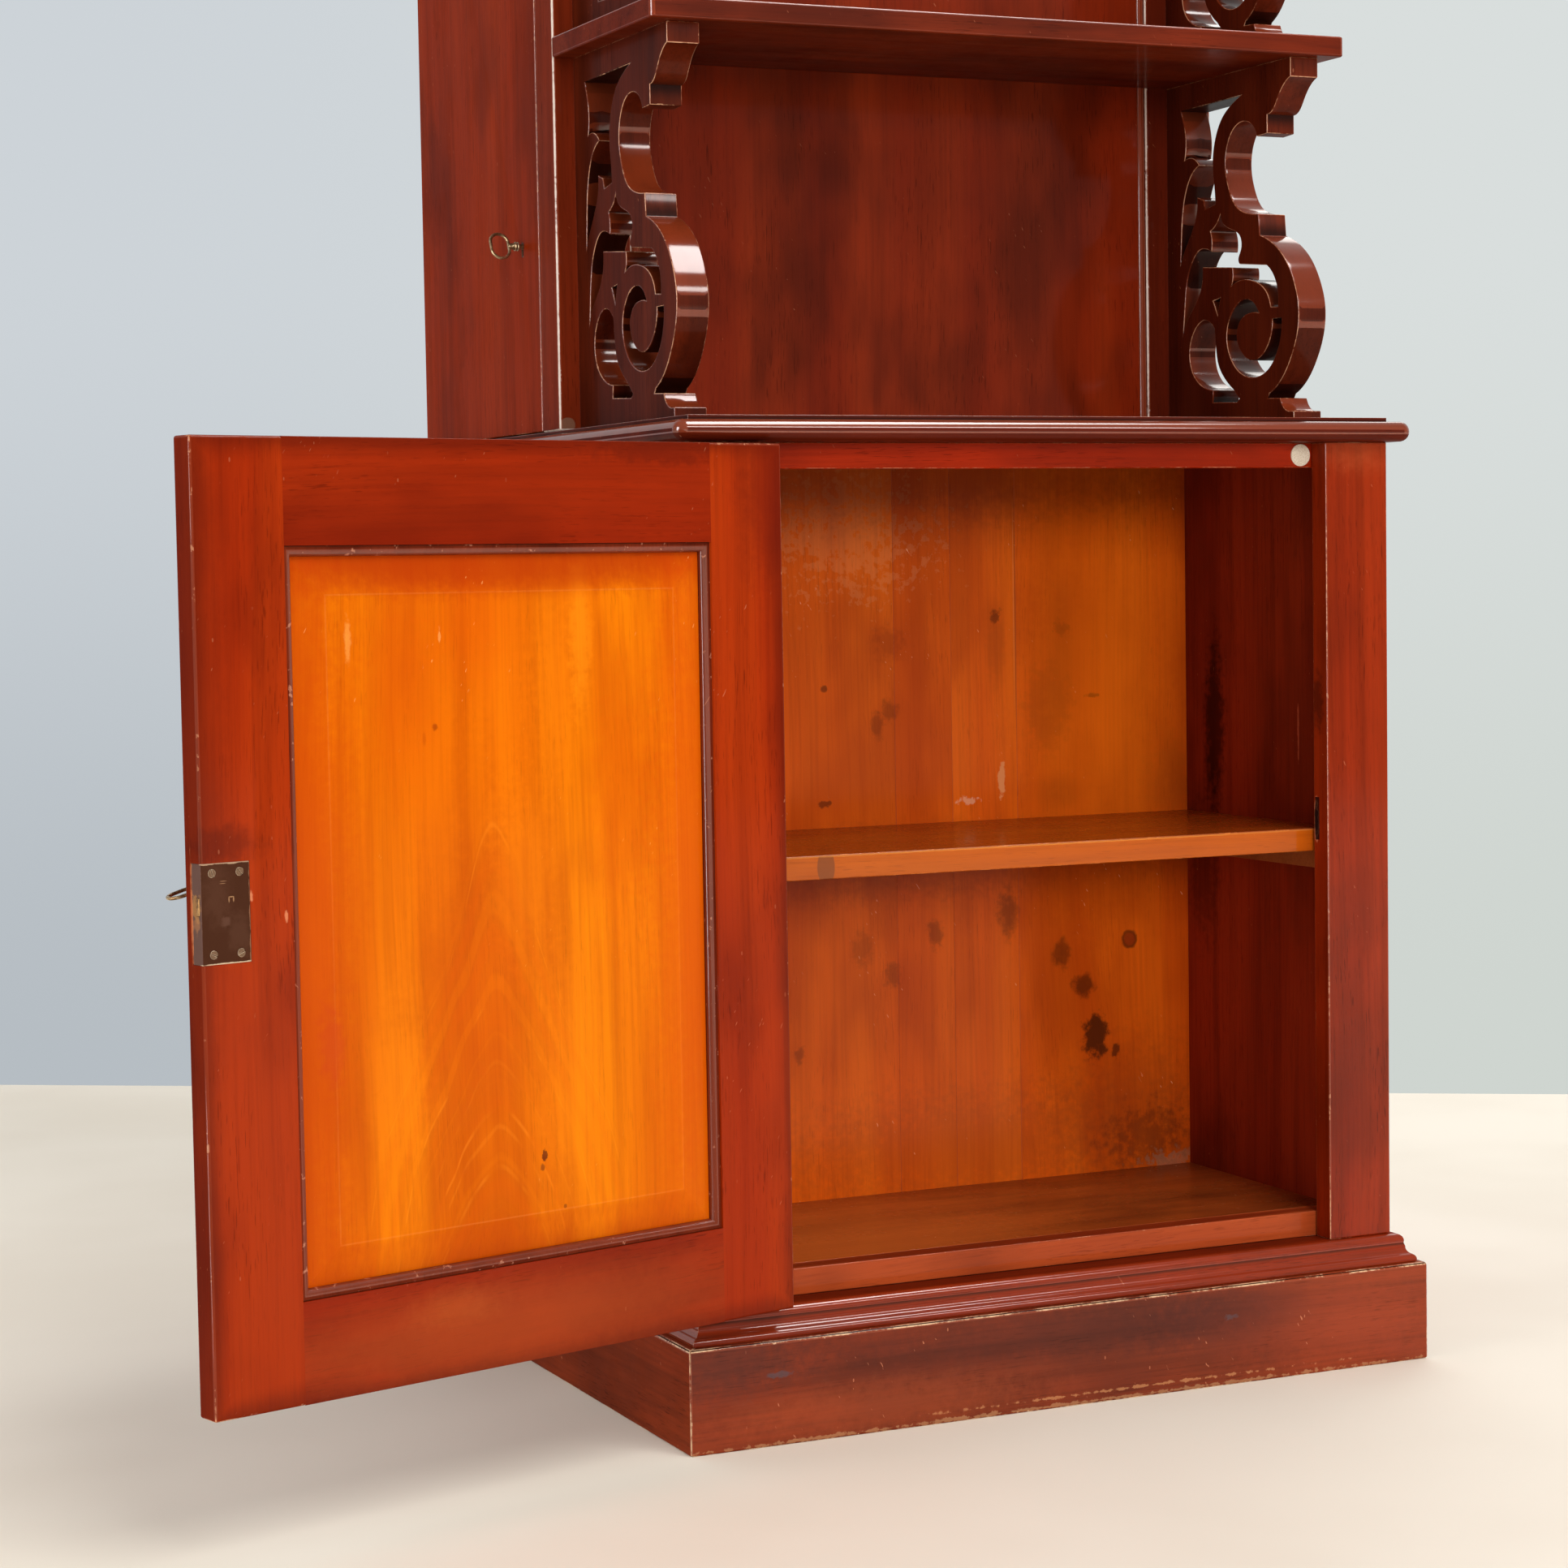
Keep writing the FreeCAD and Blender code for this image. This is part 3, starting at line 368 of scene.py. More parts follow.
# the dark crease tone below is the colour of the painted shade in creases and piercings
redLook = {
    # the tone blended onto curved faces is a painted warm highlight
    "pale": (154, 48, 12), "main": (134, 35, 7), "deep": (74, 18, 4), "worn": (210, 150, 114),
    "scratch": (196, 120, 84), "rubbedTone": (180, 92, 62), "grime": (30, 9, 5), "clouds": 0.5, "bands": 0.6,
    "streaks": 0.32, "fibres": 0.22, "pores": 0.45, "wear": 0.48, "chips": 0.5, "scratches": 0.4, "specks": 0.3,
    "rubbed": 0.3, "roughness": 0.38, "specular": 0.01, "coat": 0.02, "edgeGloss": 0.6, "coatRoughness": 0.09,
    "bump": 0.12,
}


def retoned(look, pale, main, deep, **changes):
    return dict(look, pale=pale, main=main, deep=deep, **changes)
mouldingLook = dict(redLook, rubbed=0.12, edgeGloss=0.75, coatRoughness=0.12)
plinthLook = retoned(redLook, (150, 60, 26), (128, 46, 20), (66, 24, 13), wear=0.56, chips=0.9,
                     worn=(226, 188, 150), scratches=0.8, specks=0.6)
doorLook = retoned(redLook, (170, 56, 9), (152, 40, 5), (104, 22, 3), streaks=0.3, fibres=0.2, clouds=0.6,
                   wear=0.4, rubbed=0.15, edgeGloss=0.2)
doorRailLook = retoned(doorLook, (158, 46, 8), (138, 33, 5), (100, 20, 3))
beadLook = retoned(doorLook, (128, 48, 24), (102, 33, 15), (60, 17, 8), worn=(214, 146, 116), wear=0.26,
                   rubbed=0.15, edgeGloss=0.6)
# this look paints a warm highlight on the curved nose of the top
topLook = retoned(redLook, (112, 38, 17), (90, 26, 11), (50, 14, 7), edgeGloss=0.85, rubbed=0.3,
                  coatRoughness=0.08)
railLook = retoned(redLook, (192, 88, 40), (172, 70, 32), (110, 40, 20), edgeGloss=0.3, wear=0.3)
headLook = retoned(redLook, (196, 52, 12), (174, 42, 8), (110, 26, 6))
innerLook = retoned(redLook, (170, 60, 26), (146, 46, 20), (84, 26, 12), streaks=0.35)
sideLook = retoned(redLook, (166, 55, 12), (144, 43, 8), (84, 23, 6), coat=0.0)
# the posts' near-white worn tone and high share paint the bright highlight lines on their rounded arrises
postLook = retoned(redLook, (142, 50, 22), (114, 36, 15), (66, 20, 9), worn=(232, 212, 200), wear=0.86,
                   coat=0.0)
rightPostLook = retoned(postLook, (126, 42, 20), (98, 29, 12), (56, 15, 7))
upperLook = retoned(redLook, (150, 50, 17), (128, 36, 11), (68, 18, 6), clouds=0.66, streaks=0.2, fibres=0.16)
# this look paints a warm highlight on the brackets' curved faces
darkLook = retoned(redLook, (112, 42, 20), (88, 28, 11), (44, 14, 7), wear=0.6, worn=(206, 154, 120),
                   streaks=0.4, chips=0.8, edgeGloss=0.75, rubbed=0.2, rubbedTone=(196, 84, 44), coat=0.03,
                   coatRoughness=0.12)
displayLook = retoned(darkLook, (132, 48, 20), (104, 32, 12), (52, 14, 6))
panelLook = retoned(redLook, (238, 130, 4), (215, 102, 3), (174, 66, 3), worn=(250, 190, 110), clouds=0.5,
                    bands=0.9, streaks=0.36, fibres=0.24, pores=0.2, scratches=0.3, specks=0.3,
                    scratch=(255, 190, 110), roughness=0.34, coat=0.05, wear=0.1, chips=0.2)
boardLook = retoned(redLook, (238, 116, 22), (220, 91, 14), (160, 52, 9), worn=(226, 130, 60), clouds=0.5,
                    bands=0.4, streaks=0.2, fibres=0.2, pores=0.25, scratches=0.5, specks=0.5,
                    scratch=(250, 200, 150), roughness=0.34, coat=0.1, edgeGloss=0.1, coatRoughness=0.2,
                    bump=0.3, wear=0.1, chips=0.3)
shelfLook = retoned(boardLook, (204, 108, 22), (182, 84, 13), (126, 48, 10), wear=0.4, roughness=0.24, coat=0.3,
                    coatRoughness=0.1, bump=0.12, specks=0.3)
plainLook = retoned(boardLook, (178, 108, 58), (152, 84, 42), (104, 54, 26), clouds=0.3, coat=0.01)
floorLook = retoned(boardLook, (190, 94, 36), (146, 66, 24), (72, 30, 14), roughness=0.22, coat=0.24,
                    coatRoughness=0.1, bump=0.1)


def flatMarks(depth, half, rows):
    # marks on one flat face, each row: x, z, half width, half height, colour, share, raggedness, softness
    return [((x, depth, z), (wide, half, high), *rest) for x, z, wide, high, *rest in rows]


dark = (46, 20, 10)
boardMarks = flatMarks(310, 60, [
    (245, 367, 9, 9, (70, 26, 12), 0.8, 0.3, 0.15),
    (245, 367, 6, 6, (150, 52, 18), 0.8, 0.3, 0.2),
    (205, 274, 13, 20, (50, 24, 10), 0.85, 0.8, 0.3),
    (192, 324, 11, 11, (60, 26, 10), 0.72, 0.8, 0.4),
    (168, 357, 9, 14, (60, 26, 10), 0.6, 0.8, 0.4),
    (109, 400, 10, 20, dark, 0.55, 0.8, 0.6),
    (29, 386, 8, 12, dark, 0.45, 1.0, 0.5),
    (-17, 347, 8, 10, dark, 0.4, 1.0, 0.5),
    (-48, 376, 11, 14, dark, 0.28, 1.0, 0.6),
    (-117, 279, 6, 8, dark, 0.4, 1.0, 0.5),
    (228, 257, 4, 9, dark, 0.7, 1.0, 0.3),
    (-16, 602, 8, 10, (84, 34, 10), 0.42, 1.2, 0.5),
    (-30, 589, 6, 12, (84, 34, 10), 0.42, 1.2, 0.5),
    (-16, 666, 15, 14, (140, 46, 12), 0.4, 1.0, 0.6),
    (-85, 625, 3, 3, dark, 0.6, 0.8, 0.3),
    (-87, 515, 6, 3, dark, 0.6, 1.6, 0.3),
    (99, 689, 5, 6, dark, 0.65, 1.2, 0.3),
    (99, 660, 9, 34, (130, 46, 14), 0.35, 0.6, 0.7),
    (172, 676, 8, 8, dark, 0.5, 1.4, 0.35),
    (172, 690, 10, 26, (140, 48, 12), 0.35, 0.6, 0.7),
    (155, 601, 22, 40, (112, 40, 12), 0.5, 0.7, 0.5),
    (172, 640, 12, 34, (132, 46, 12), 0.35, 0.7, 0.7),
    (205, 610, 7, 2.4, dark, 0.7, 0.8, 0.3),
    (167, 517, 20, 14, (110, 38, 12), 0.35, 0.8, 0.7),
    (104, 531, 3.5, 17, (226, 150, 96), 0.8, 1.0, 0.2),
    (66, 512, 9, 3, (246, 214, 180), 0.3, 2.0, 0.3),
    (119, 700, 0.5, 100, (230, 150, 90), 0.35, 0.3, 0.3),
    (120.6, 700, 0.6, 110, dark, 0.35, 0.3, 0.3),
    (-60, 770, 60, 40, (236, 176, 120), 0.12, 3.0, 0.3),
    (292, 524, 24, 34, (90, 40, 14), 0.3, 1.0, 0.7),
    (245, 200, 70, 60, (104, 48, 24), 0.22, 1.0, 0.7),
    (262, 168, 36, 26, (58, 26, 14), 0.4, 1.6, 0.6),
    (300, 142, 30, 8, (170, 140, 112), 0.3, 2.6, 0.4),
    (60, 175, 190, 46, (128, 60, 28), 0.3, 1.0, 0.7),
    # painted light: a lighter patch over the right-hand boards
    (214, 610, 84, 170, (246, 118, 18), 0.36, 0.4, 0.8),
    # painted shadow under the shelf
    (0, 455, 330, 28, (120, 44, 16), 0.5, 0.6, 0.7),
    # painted shadow under the head rail
    (0, 830, 330, 44, (90, 26, 10), 0.55, 0.5, 0.7),
])
panelMarks = flatMarks(30, 20, [
    (-27, 276, 2.6, 5, (96, 34, 12), 0.9, 1.4, 0.15),
    (-25, 268, 2, 3, (110, 40, 14), 0.7, 1.2, 0.3),
    (167, 384, 9, 26, (190, 66, 30), 0.5, 1.2, 0.5),
    (68, 621, 2.2, 3, (120, 20, 4), 0.75, 0.8, 0.4),
    (78, 612, 1.6, 5, (150, 40, 5), 0.4, 0.8, 0.5),
    (-46, 234, 1.6, 1.6, (120, 50, 16), 0.7, 0.6, 0.3),
]) + flatMarks(30, 6, [
    (145, 689, 2.5, 15, (250, 176, 84), 0.4, 1.6, 0.5),
    (62, 691, 1, 5, (250, 190, 110), 0.45, 1.6, 0.4),
    (-72, 690, 9, 52, (252, 146, 20), 0.4, 1.0, 0.7),
    (-46, 650, 16, 70, (248, 132, 12), 0.28, 0.8, 0.8),
    (6, 640, 20, 80, (248, 128, 10), 0.24, 0.8, 0.8),
    (71, 577, 22, 90, (246, 122, 8), 0.2, 0.8, 0.8),
    (-10, 500, 26, 60, (248, 132, 14), 0.24, 0.8, 0.8),
    (-56, 345, 26, 80, (248, 132, 14), 0.26, 0.8, 0.8),
    (112, 352, 26, 60, (248, 136, 18), 0.26, 0.8, 0.8),
    (30, 700, 30, 40, (206, 76, 4), 0.35, 0.6, 0.8),
    (100, 660, 26, 70, (206, 76, 4), 0.3, 0.6, 0.8),
    (-110, 560, 26, 100, (212, 78, 4), 0.3, 0.6, 0.8),
    (30, 400, 34, 70, (214, 84, 4), 0.25, 0.6, 0.8),
]) + flatMarks(30, 20, [
    # painted shade on the top bevel and the right-hand bevel
    (0, 750, 260, 25, (166, 46, 4), 0.72, 0.3, 0.5),
    (200, 470, 50, 330, (192, 66, 5), 0.55, 0.5, 0.6),
]) + flatMarks(30, 6, [
    # painted shade on the left-hand bevel
    (-196, 470, 48, 330, (204, 72, 6), 0.5, 0.5, 0.6),
])
railMarks = flatMarks(35, 24, [
    (10, 148, 190, 30, (172, 74, 30), 0.5, 0.25, 0.85),
    (60, 170, 34, 12, (196, 100, 42), 0.18, 0.5, 0.8),
    (-150, 835, 60, 9, (96, 22, 6), 0.5, 1.0, 0.5),
])
stileMarks = [
    ((-262, 35, 812), (26, 24, 70), (100, 20, 6), 0.55, 0.5, 0.8),
    ((268, 35, 640), (14, 24, 190), (104, 24, 8), 0.35, 0.5, 0.8),
    ((258, 35, 543), (26, 24, 12), (74, 18, 8), 0.5, 0.6, 0.7),
    ((206.8, 35, 485.7), (1.4, 8, 3.4), (232, 146, 100), 0.6, 1.2, 0.4),
    ((236.4, 35, 503), (1.2, 8, 5), (226, 150, 108), 0.55, 1.4, 0.4),
    ((278.3, 20.4, 492.5), (1.4, 0.8, 38), (210, 124, 78), 0.65, 0.8, 0.4),
]
plinthMarks = flatMarks(-12, 6, [
    (-32, 66, 200, 22, (62, 26, 20), 0.55, 0.6, 0.8),
    (158, 58, 70, 22, (66, 24, 18), 0.5, 0.6, 0.8),
    (-333, 74, 60, 26, (64, 34, 30), 0.5, 0.8, 0.8),
    (-191, 22, 120, 20, (168, 74, 36), 0.35, 0.8, 0.8),
    (273, 40, 90, 34, (164, 62, 30), 0.35, 0.8, 0.8),
    (0, 103, 380, 5, (40, 16, 10), 0.7, 0.4, 0.6),
    (0, 2.4, 366, 1.1, (196, 150, 104), 0.36, 3.6, 0.5),
    (60, 9.5, 110, 0.9, (204, 140, 90), 0.5, 3.6, 0.5),
    (-288, 61, 12, 2.4, (74, 78, 86), 0.45, 1.6, 0.4),
    (158, 62, 7, 2.4, (74, 78, 86), 0.4, 1.6, 0.4),
])
pilasterMarks = [
    # the strike hole for the bolt: a pale rim round a dark patch of painted shade for the inside of the hole
    ((280, 31, 501), (4, 4.2, 21), (214, 130, 92), 0.75, 0.5, 0.15),
    ((280, 31, 501), (4, 2.6, 18), (12, 6, 5), 0.95, 0.4, 0.15),
    ((280, 28, 610), (6, 8, 22), (40, 14, 8), 0.6, 1.0, 0.6),
    ((313, -2, 840), (40, 18, 20), (186, 84, 44), 0.4, 0.5, 0.8),
]
shelfMarks = [
    ((-213.5, 38.75, 482), (8.4, 4, 16), (116, 62, 30), 0.75, 0.1, 0.06),
    # painted highlight: a pale line along the front top edge
    ((0, 38.75, 491.8), (330, 3, 1.0), (250, 166, 72), 0.5, 0.5, 0.5),
    ((0, 190, 493.2), (900, 460, 1.8), (112, 36, 10), 0.62, 0.3, 0.4),
]
floorMarks = [
    # painted light: the left part of the cupboard floor lighter
    ((-170, 100, 138), (160, 200, 12), (214, 112, 46), 0.36, 0.5, 0.8),
]
postMarks = [
    ((-338.5, 310, 872.5), (8, 8, 6), (128, 96, 76), 0.7, 0.2, 0.1),
]
mouldingMarks = [
    ((0, 25, 115), (420, 13, 1.6), (70, 18, 7), 0.6, 0.1, 0.3),
    ((0, 36, 115), (420, 1.8, 2), (40, 14, 8), 0.8, 0.6, 0.4),
    ((0, -4, 108), (420, 8, 5), (84, 22, 9), 0.3, 0.8, 0.7),
]
sillMarks = [
    ((0, 48, 138), (300, 12, 2), (112, 34, 12), 0.85, 0.0, 0.2),
]
sideMarks = [
    ((313, 258, 580), (14, 16, 74), (20, 8, 6), 0.72, 0.8, 0.5),
    ((313, 280, 430), (14, 24, 60), (26, 10, 7), 0.36, 1.0, 0.6),
    ((313, 110, 579), (14, 1.2, 26), (186, 92, 60), 0.7, 1.0, 0.3),
]


# Arches in the lower middle of the panel, and painted shade on the bevelled margin round its field
def cathedral(place, colour):
    figure = {"centre": (16, 0, 0), "curve": 13.5, "rings": 30.0, "top": 600, "fade": 90,
              "lines": ((542, 0.16), (411, 0.26), (353, 0.1), (319, 0.2), (302, 0.12), (270, 0.2)),
              "fieldMiddle": (-1.0, 0, 477.9), "fieldHalf": (164.8, 246.1), "outsideY": 25,
              "outsideTint": (0.4, 0.2, 0.5, 1.0)}
    shape = useGroup(arches, {"Vector": place, "Centre": metres(figure["centre"]), "Curve": figure["curve"],
                              "Rings": figure["rings"]})
    inside = ease(shape["Level"], figure["top"] * mm, (figure["top"] - figure["fade"]) * mm)
    darkRing = times(ease(shape["Tone"], 0.46, 0.7, 0.0, 0.14), inside)
    paleRing = times(ease(shape["Tone"], 0.48, 0.3, 0.0, 0.12), inside)
    faded = ease(noise(place, 1, 26, 2.0), 0.4, 0.6)
    colour = blend(darkRing, colour, rgb(220, 88, 4))
    colour = blend(paleRing, colour, rgb(254, 138, 8))
    for level, share in figure["lines"]:
        away = calc("ABSOLUTE", calc("SUBTRACT", shape["Level"], level * mm))
        line = times(ease(away, 0.0036, 0.0004, 0.0, share), faded)
        colour = blend(line, colour, rgb(255, 156, 40))
    parts = partsOf(vectorCalc("SUBTRACT", place, metres(figure["fieldMiddle"])))
    beyond = [calc("SUBTRACT", calc("ABSOLUTE", parts[axis]), half * mm)
              for axis, half in zip((0, 2), figure["fieldHalf"])]
    out = calc("MAXIMUM", *beyond)
    ragged = timesPlus(calc("SUBTRACT", faded, 0.5), 0.002, out)
    # painted shade on the bevelled margin, deeper next to the bead
    colour = blend(ease(ragged, -0.003, 0.006, 0.0, 0.24), colour, rgb(190, 62, 4))
    colour = blend(ease(out, 0.01, 0.03, 0.0, 0.26), colour, rgb(150, 42, 5))
    edge = ease(calc("ABSOLUTE", out), 0.0011, 0.0002, 0.0, 0.1)
    colour = blend(edge, colour, rgb(255, 170, 84))
    depth = partsOf(place)[1]
    outside = ease(depth, figure["outsideY"] * mm, (figure["outsideY"] - 2) * mm)
    return blend(outside, colour, figure["outsideTint"], "MULTIPLY")


# Metals: bright and dark tone, age, roughness, metallic, specular, bump
metalLooks = {
    "lockPlate": ((208, 164, 122), (70, 38, 22), 1.0, 0.42, 0.15, 0.1, 0.25),
    "lockMetal": ((206, 160, 112), (84, 46, 30), 0.95, 0.34, 0.6, 0.3, 0.2),
    "screwMetal": ((236, 214, 184), (120, 92, 70), 0.7, 0.36, 0.3, 0.3, 0.3),
    "boltBrass": ((188, 142, 84), (104, 70, 38), 0.5, 0.36, 0.6, 0.4, 0.9),
    "keyBrass": ((220, 192, 150), (120, 92, 62), 0.5, 0.24, 0.9, 0.5, 0.25),
    "oldBrass": ((214, 178, 118), (96, 66, 34), 0.52, 0.26, 0.9, 0.5, 0.2),
}


def agedMetal(name, onDoor=False, marks=()):
    brightTone, darkTone, age, roughness, metallic, specular, bump = metalLooks[name]
    material, shader, place = startMaterial(name, onDoor)
    skin = useGroup(tarnish, {"Vector": place, "Bright": rgb(*brightTone), "Dark": rgb(*darkTone), "Age": age})
    fill(shader, {
        "Base Color": addMarks(place, skin["Color"], marks), "Metallic": metallic,
        "Roughness": timesPlus(skin["Dull"], 0.25, roughness), "Specular IOR Level": specular,
        "Normal": bumps(bump, 0.3, skin["Height"])})
    return material


def feltCloth(name):
    material, shader, place = startMaterial(name)
    nap = noise(place, 1, 900, 4.0, 0.7)
    colour = blend(ease(nap, 0.35, 0.65), rgb(224, 208, 184), rgb(252, 242, 226))
    fill(shader, {"Base Color": colour, "Roughness": 0.95, "Specular IOR Level": 0.1,
                  "Normal": bumps(0.7, 0.5, nap)})
    return material


plateMarks = [
    ((278.3, 28, 492.5), (0.3, 30, 60), (102, 74, 66), 0.8, 0.0, 0.1),
    ((278.3, 27.5, 497), (0.4, 6, 8.5), (164, 118, 66), 0.7, 1.8, 0.3),
    ((278.3, 27.5, 484), (0.4, 6, 5), (170, 116, 74), 0.45, 1.8, 0.4),
    ((278.3, 21.6, 492.5), (0.4, 0.8, 40), (214, 130, 84), 0.75, 1.0, 0.3),
] + flatMarks(35, 3, [
    (253.2, 504.4, 2.0, 0.5, (196, 150, 108), 0.6, 0.8, 0.4),
    (251.3, 502.4, 0.5, 2.0, (196, 150, 108), 0.6, 0.8, 0.4),
    (255.1, 502.4, 0.5, 2.0, (196, 150, 108), 0.6, 0.8, 0.4),
    (259.6, 516.3, 3.0, 0.3, (186, 142, 104), 0.6, 0.4, 0.3),
    (260.2, 514.6, 2.6, 0.3, (186, 142, 104), 0.6, 0.4, 0.3),
    (246, 476, 9, 12, (92, 60, 44), 0.4, 1.2, 0.6),
    (258, 486, 3, 3, (110, 78, 64), 0.4, 1.2, 0.6),
    (266, 508, 10, 20, (96, 62, 46), 0.35, 1.0, 0.7),
    (258, 455.4, 24, 0.7, (240, 214, 180), 0.7, 1.6, 0.4),
    (258, 529.6, 24, 0.6, (226, 190, 156), 0.5, 2.2, 0.4),
    (237.7, 492.5, 0.6, 40, (170, 120, 88), 0.5, 2.2, 0.4),
])
metals = {name: agedMetal(name) for name in metalLooks if name != "lockPlate"}
metals["lockPlate"] = agedMetal("lockPlate", True, plateMarks)
metals["felt"] = feltCloth("felt")
print("metal and felt made")


# Meshes from the frame, with softened arrises: lengths in millimetres, angles in degrees, parts of a normal
meshLimits = {"weld": 0.01, "flatten": 0.5, "touch": 0.05, "sharpest": 35, "smooth": 50, "flat": 0.995,
              "downward": -0.25, "hollow": -0.5}


def mergedCopy(name):
    bm = bmesh.new()
    bm.from_mesh(nodes[name].data)
    bmesh.ops.remove_doubles(bm, verts=bm.verts, dist=meshLimits["weld"] * mm)
    flat = math.radians(meshLimits["flatten"])
    bmesh.ops.dissolve_limit(bm, angle_limit=flat, verts=bm.verts, edges=bm.edges)
    return bm


def wearAndShadeLayers(bm):
    return (bm.verts.layers.float.new("arris"), bm.faces.layers.float.new("polish"),
            bm.loops.layers.float.new("grime"))


def roundEdges(bm, edges, width, segments):
    return bmesh.ops.bevel(bm, geom=edges, offset=width, offset_type="OFFSET", affect="EDGES",
                           segments=segments, profile=0.5, material=-1, clamp_overlap=False)["faces"]


def onOutside(edge, low, high):
    middle = (edge.verts[0].co + edge.verts[1].co) / 2
    away = [min(middle[axis] - low[axis], high[axis] - middle[axis]) for axis in range(3)]
    return sum(gap < meshLimits["touch"] * mm for gap in away) >= 2


# Shares of polish by the way a face lies; faces with the full curve share also take the painted warm highlight
# tone
polishShares = {"side": 0.0, "front": 0.5, "top": 0.02, "under": 0.08, "curve": 1.0}


def softenArrises(bm, width, segments=2, outsideOnly=False, box=None):
    rubbed, polish, grime = wearAndShadeLayers(bm)
    low, high = box or [[pick(vert.co[axis] for vert in bm.verts) for axis in range(3)] for pick in (min, max)]
    sharpest = math.radians(meshLimits["sharpest"])
    sharp = [edge for edge in bm.edges if edge.is_manifold and edge.is_convex
             and edge.calc_face_angle(0) > sharpest and (not outsideOnly or onOutside(edge, low, high))]
    strip = set(roundEdges(bm, sharp, width, segments))
    for vert in bm.verts:
        if vert.link_faces and all(face in strip for face in vert.link_faces):
            vert[rubbed] = 1.0
    bm.normal_update()
    for face in bm.faces:
        lie = [abs(value) > meshLimits["flat"] for value in face.normal]
        kind = "side" if lie[0] else "front" if lie[1] else "top" if lie[2] else "curve"
        kind = "under" if face.normal.z < meshLimits["downward"] else kind
        face[polish] = polishShares[kind]
        # painted shade: corners next to an inward edge get full crease shade
        for loop in face.loops:
            sides = (loop.edge, loop.link_loop_prev.edge)
            loop[grime] = float(any(edge.is_manifold and edge.calc_face_angle_signed(0) < meshLimits["hollow"]
                                    for edge in sides))


# Painted shade in the piercings of the brackets: found by looking from each face for another one within reach
piercing = {"reach": 34, "start": 0.2, "sideways": 0.9, "grime": 0.75}


def shadePiercings(bm):
    grime = bm.loops.layers.float["grime"]
    around = BVHTree.FromBMesh(bm)
    for face in bm.faces:
        start = face.calc_center_median() + face.normal * piercing["start"] * mm
        faced = abs(face.normal.x) < piercing["sideways"]
        if faced and around.ray_cast(start, face.normal, piercing["reach"] * mm)[0]:
            for loop in face.loops:
                loop[grime] = max(loop[grime], piercing["grime"])


def addObject(name, data):
    thing = bpy.data.objects.new(name, data)
    scene.collection.objects.link(thing)
    return thing


def addPiece(name, bm, material, body, slot, standsFor=()):
    mesh = bpy.data.meshes.new(name)
    bm.to_mesh(mesh)
    bm.free()
    mesh.materials.append(material)
    for face in mesh.polygons:
        face.use_smooth = True
    mesh.set_sharp_from_angle(angle=math.radians(meshLimits["smooth"]))
    piece = addObject(name, mesh)
    piece.modifiers.new("evenShading", "WEIGHTED_NORMAL").keep_sharp = True
    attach(piece, body)
    if standsFor:
        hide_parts(*standsFor)


def plainName(nodeName):
    words = nodeName.split("_")
    return words[0] + "".join(word.capitalize() for word in words[1:])


# Where dark polish gathers on the closed door
doorRim = {"centre": (0, 23, 479.2), "half": (279, 23, 363.5), "reach": 19.0, "share": 0.56,
           "tone": (70, 14, 5)}

woods = {row[0]: polishedWood(*row) for row in (
    ("redUp", redLook),
    ("redAcross", redLook, "across", 2.1),
    ("redDeep", redLook, "deep", 4.3),
    ("baseMoulding", mouldingLook, "across", 2.1, mouldingMarks),
    ("pilasterWood", redLook, "up", 0.9, pilasterMarks),
    ("innerSide", innerLook, "up", 1.4, sideMarks),
    ("bottomRail", railLook, "across", 1.9, sillMarks),
    ("headRail", headLook, "across", 2.9),
    ("sideDoorWood", sideLook, "up", 3.7),
    ("postWood", postLook, "up", 4.4, postMarks),
    ("rightPostWood", rightPostLook, "up", 5.4),
    ("upperPanelWood", upperLook, "up", 0.2),
    ("topBoardWood", topLook, "across", 2.4),
    ("displayShelf", displayLook, "across", 1.1),
    ("plinthAcross", plinthLook, "across", 3.3, plinthMarks),
    ("plinthDeep", plinthLook, "deep", 2.7),
    ("darkUp", darkLook, "up", 0.6),
    ("doorUp", doorLook, "up", 0.9, stileMarks, True, None, doorRim),
    ("doorAcross", doorRailLook, "across", 1.7, railMarks, True, None, doorRim),
    ("doorPanelWood", panelLook, "up", 3.1, panelMarks, True, cathedral),
    ("panelMoulding", beadLook, "up", 2.2, (), True),
    ("backBoards", boardLook, "up", 0.3, boardMarks),
    ("shelfWood", shelfLook, "across", 0.8, shelfMarks),
    ("floorBoard", floorLook, "across", 5.2, floorMarks),
    ("plainWood", plainLook, "across", 6.2),
)}
print("woods made:", len(woods))

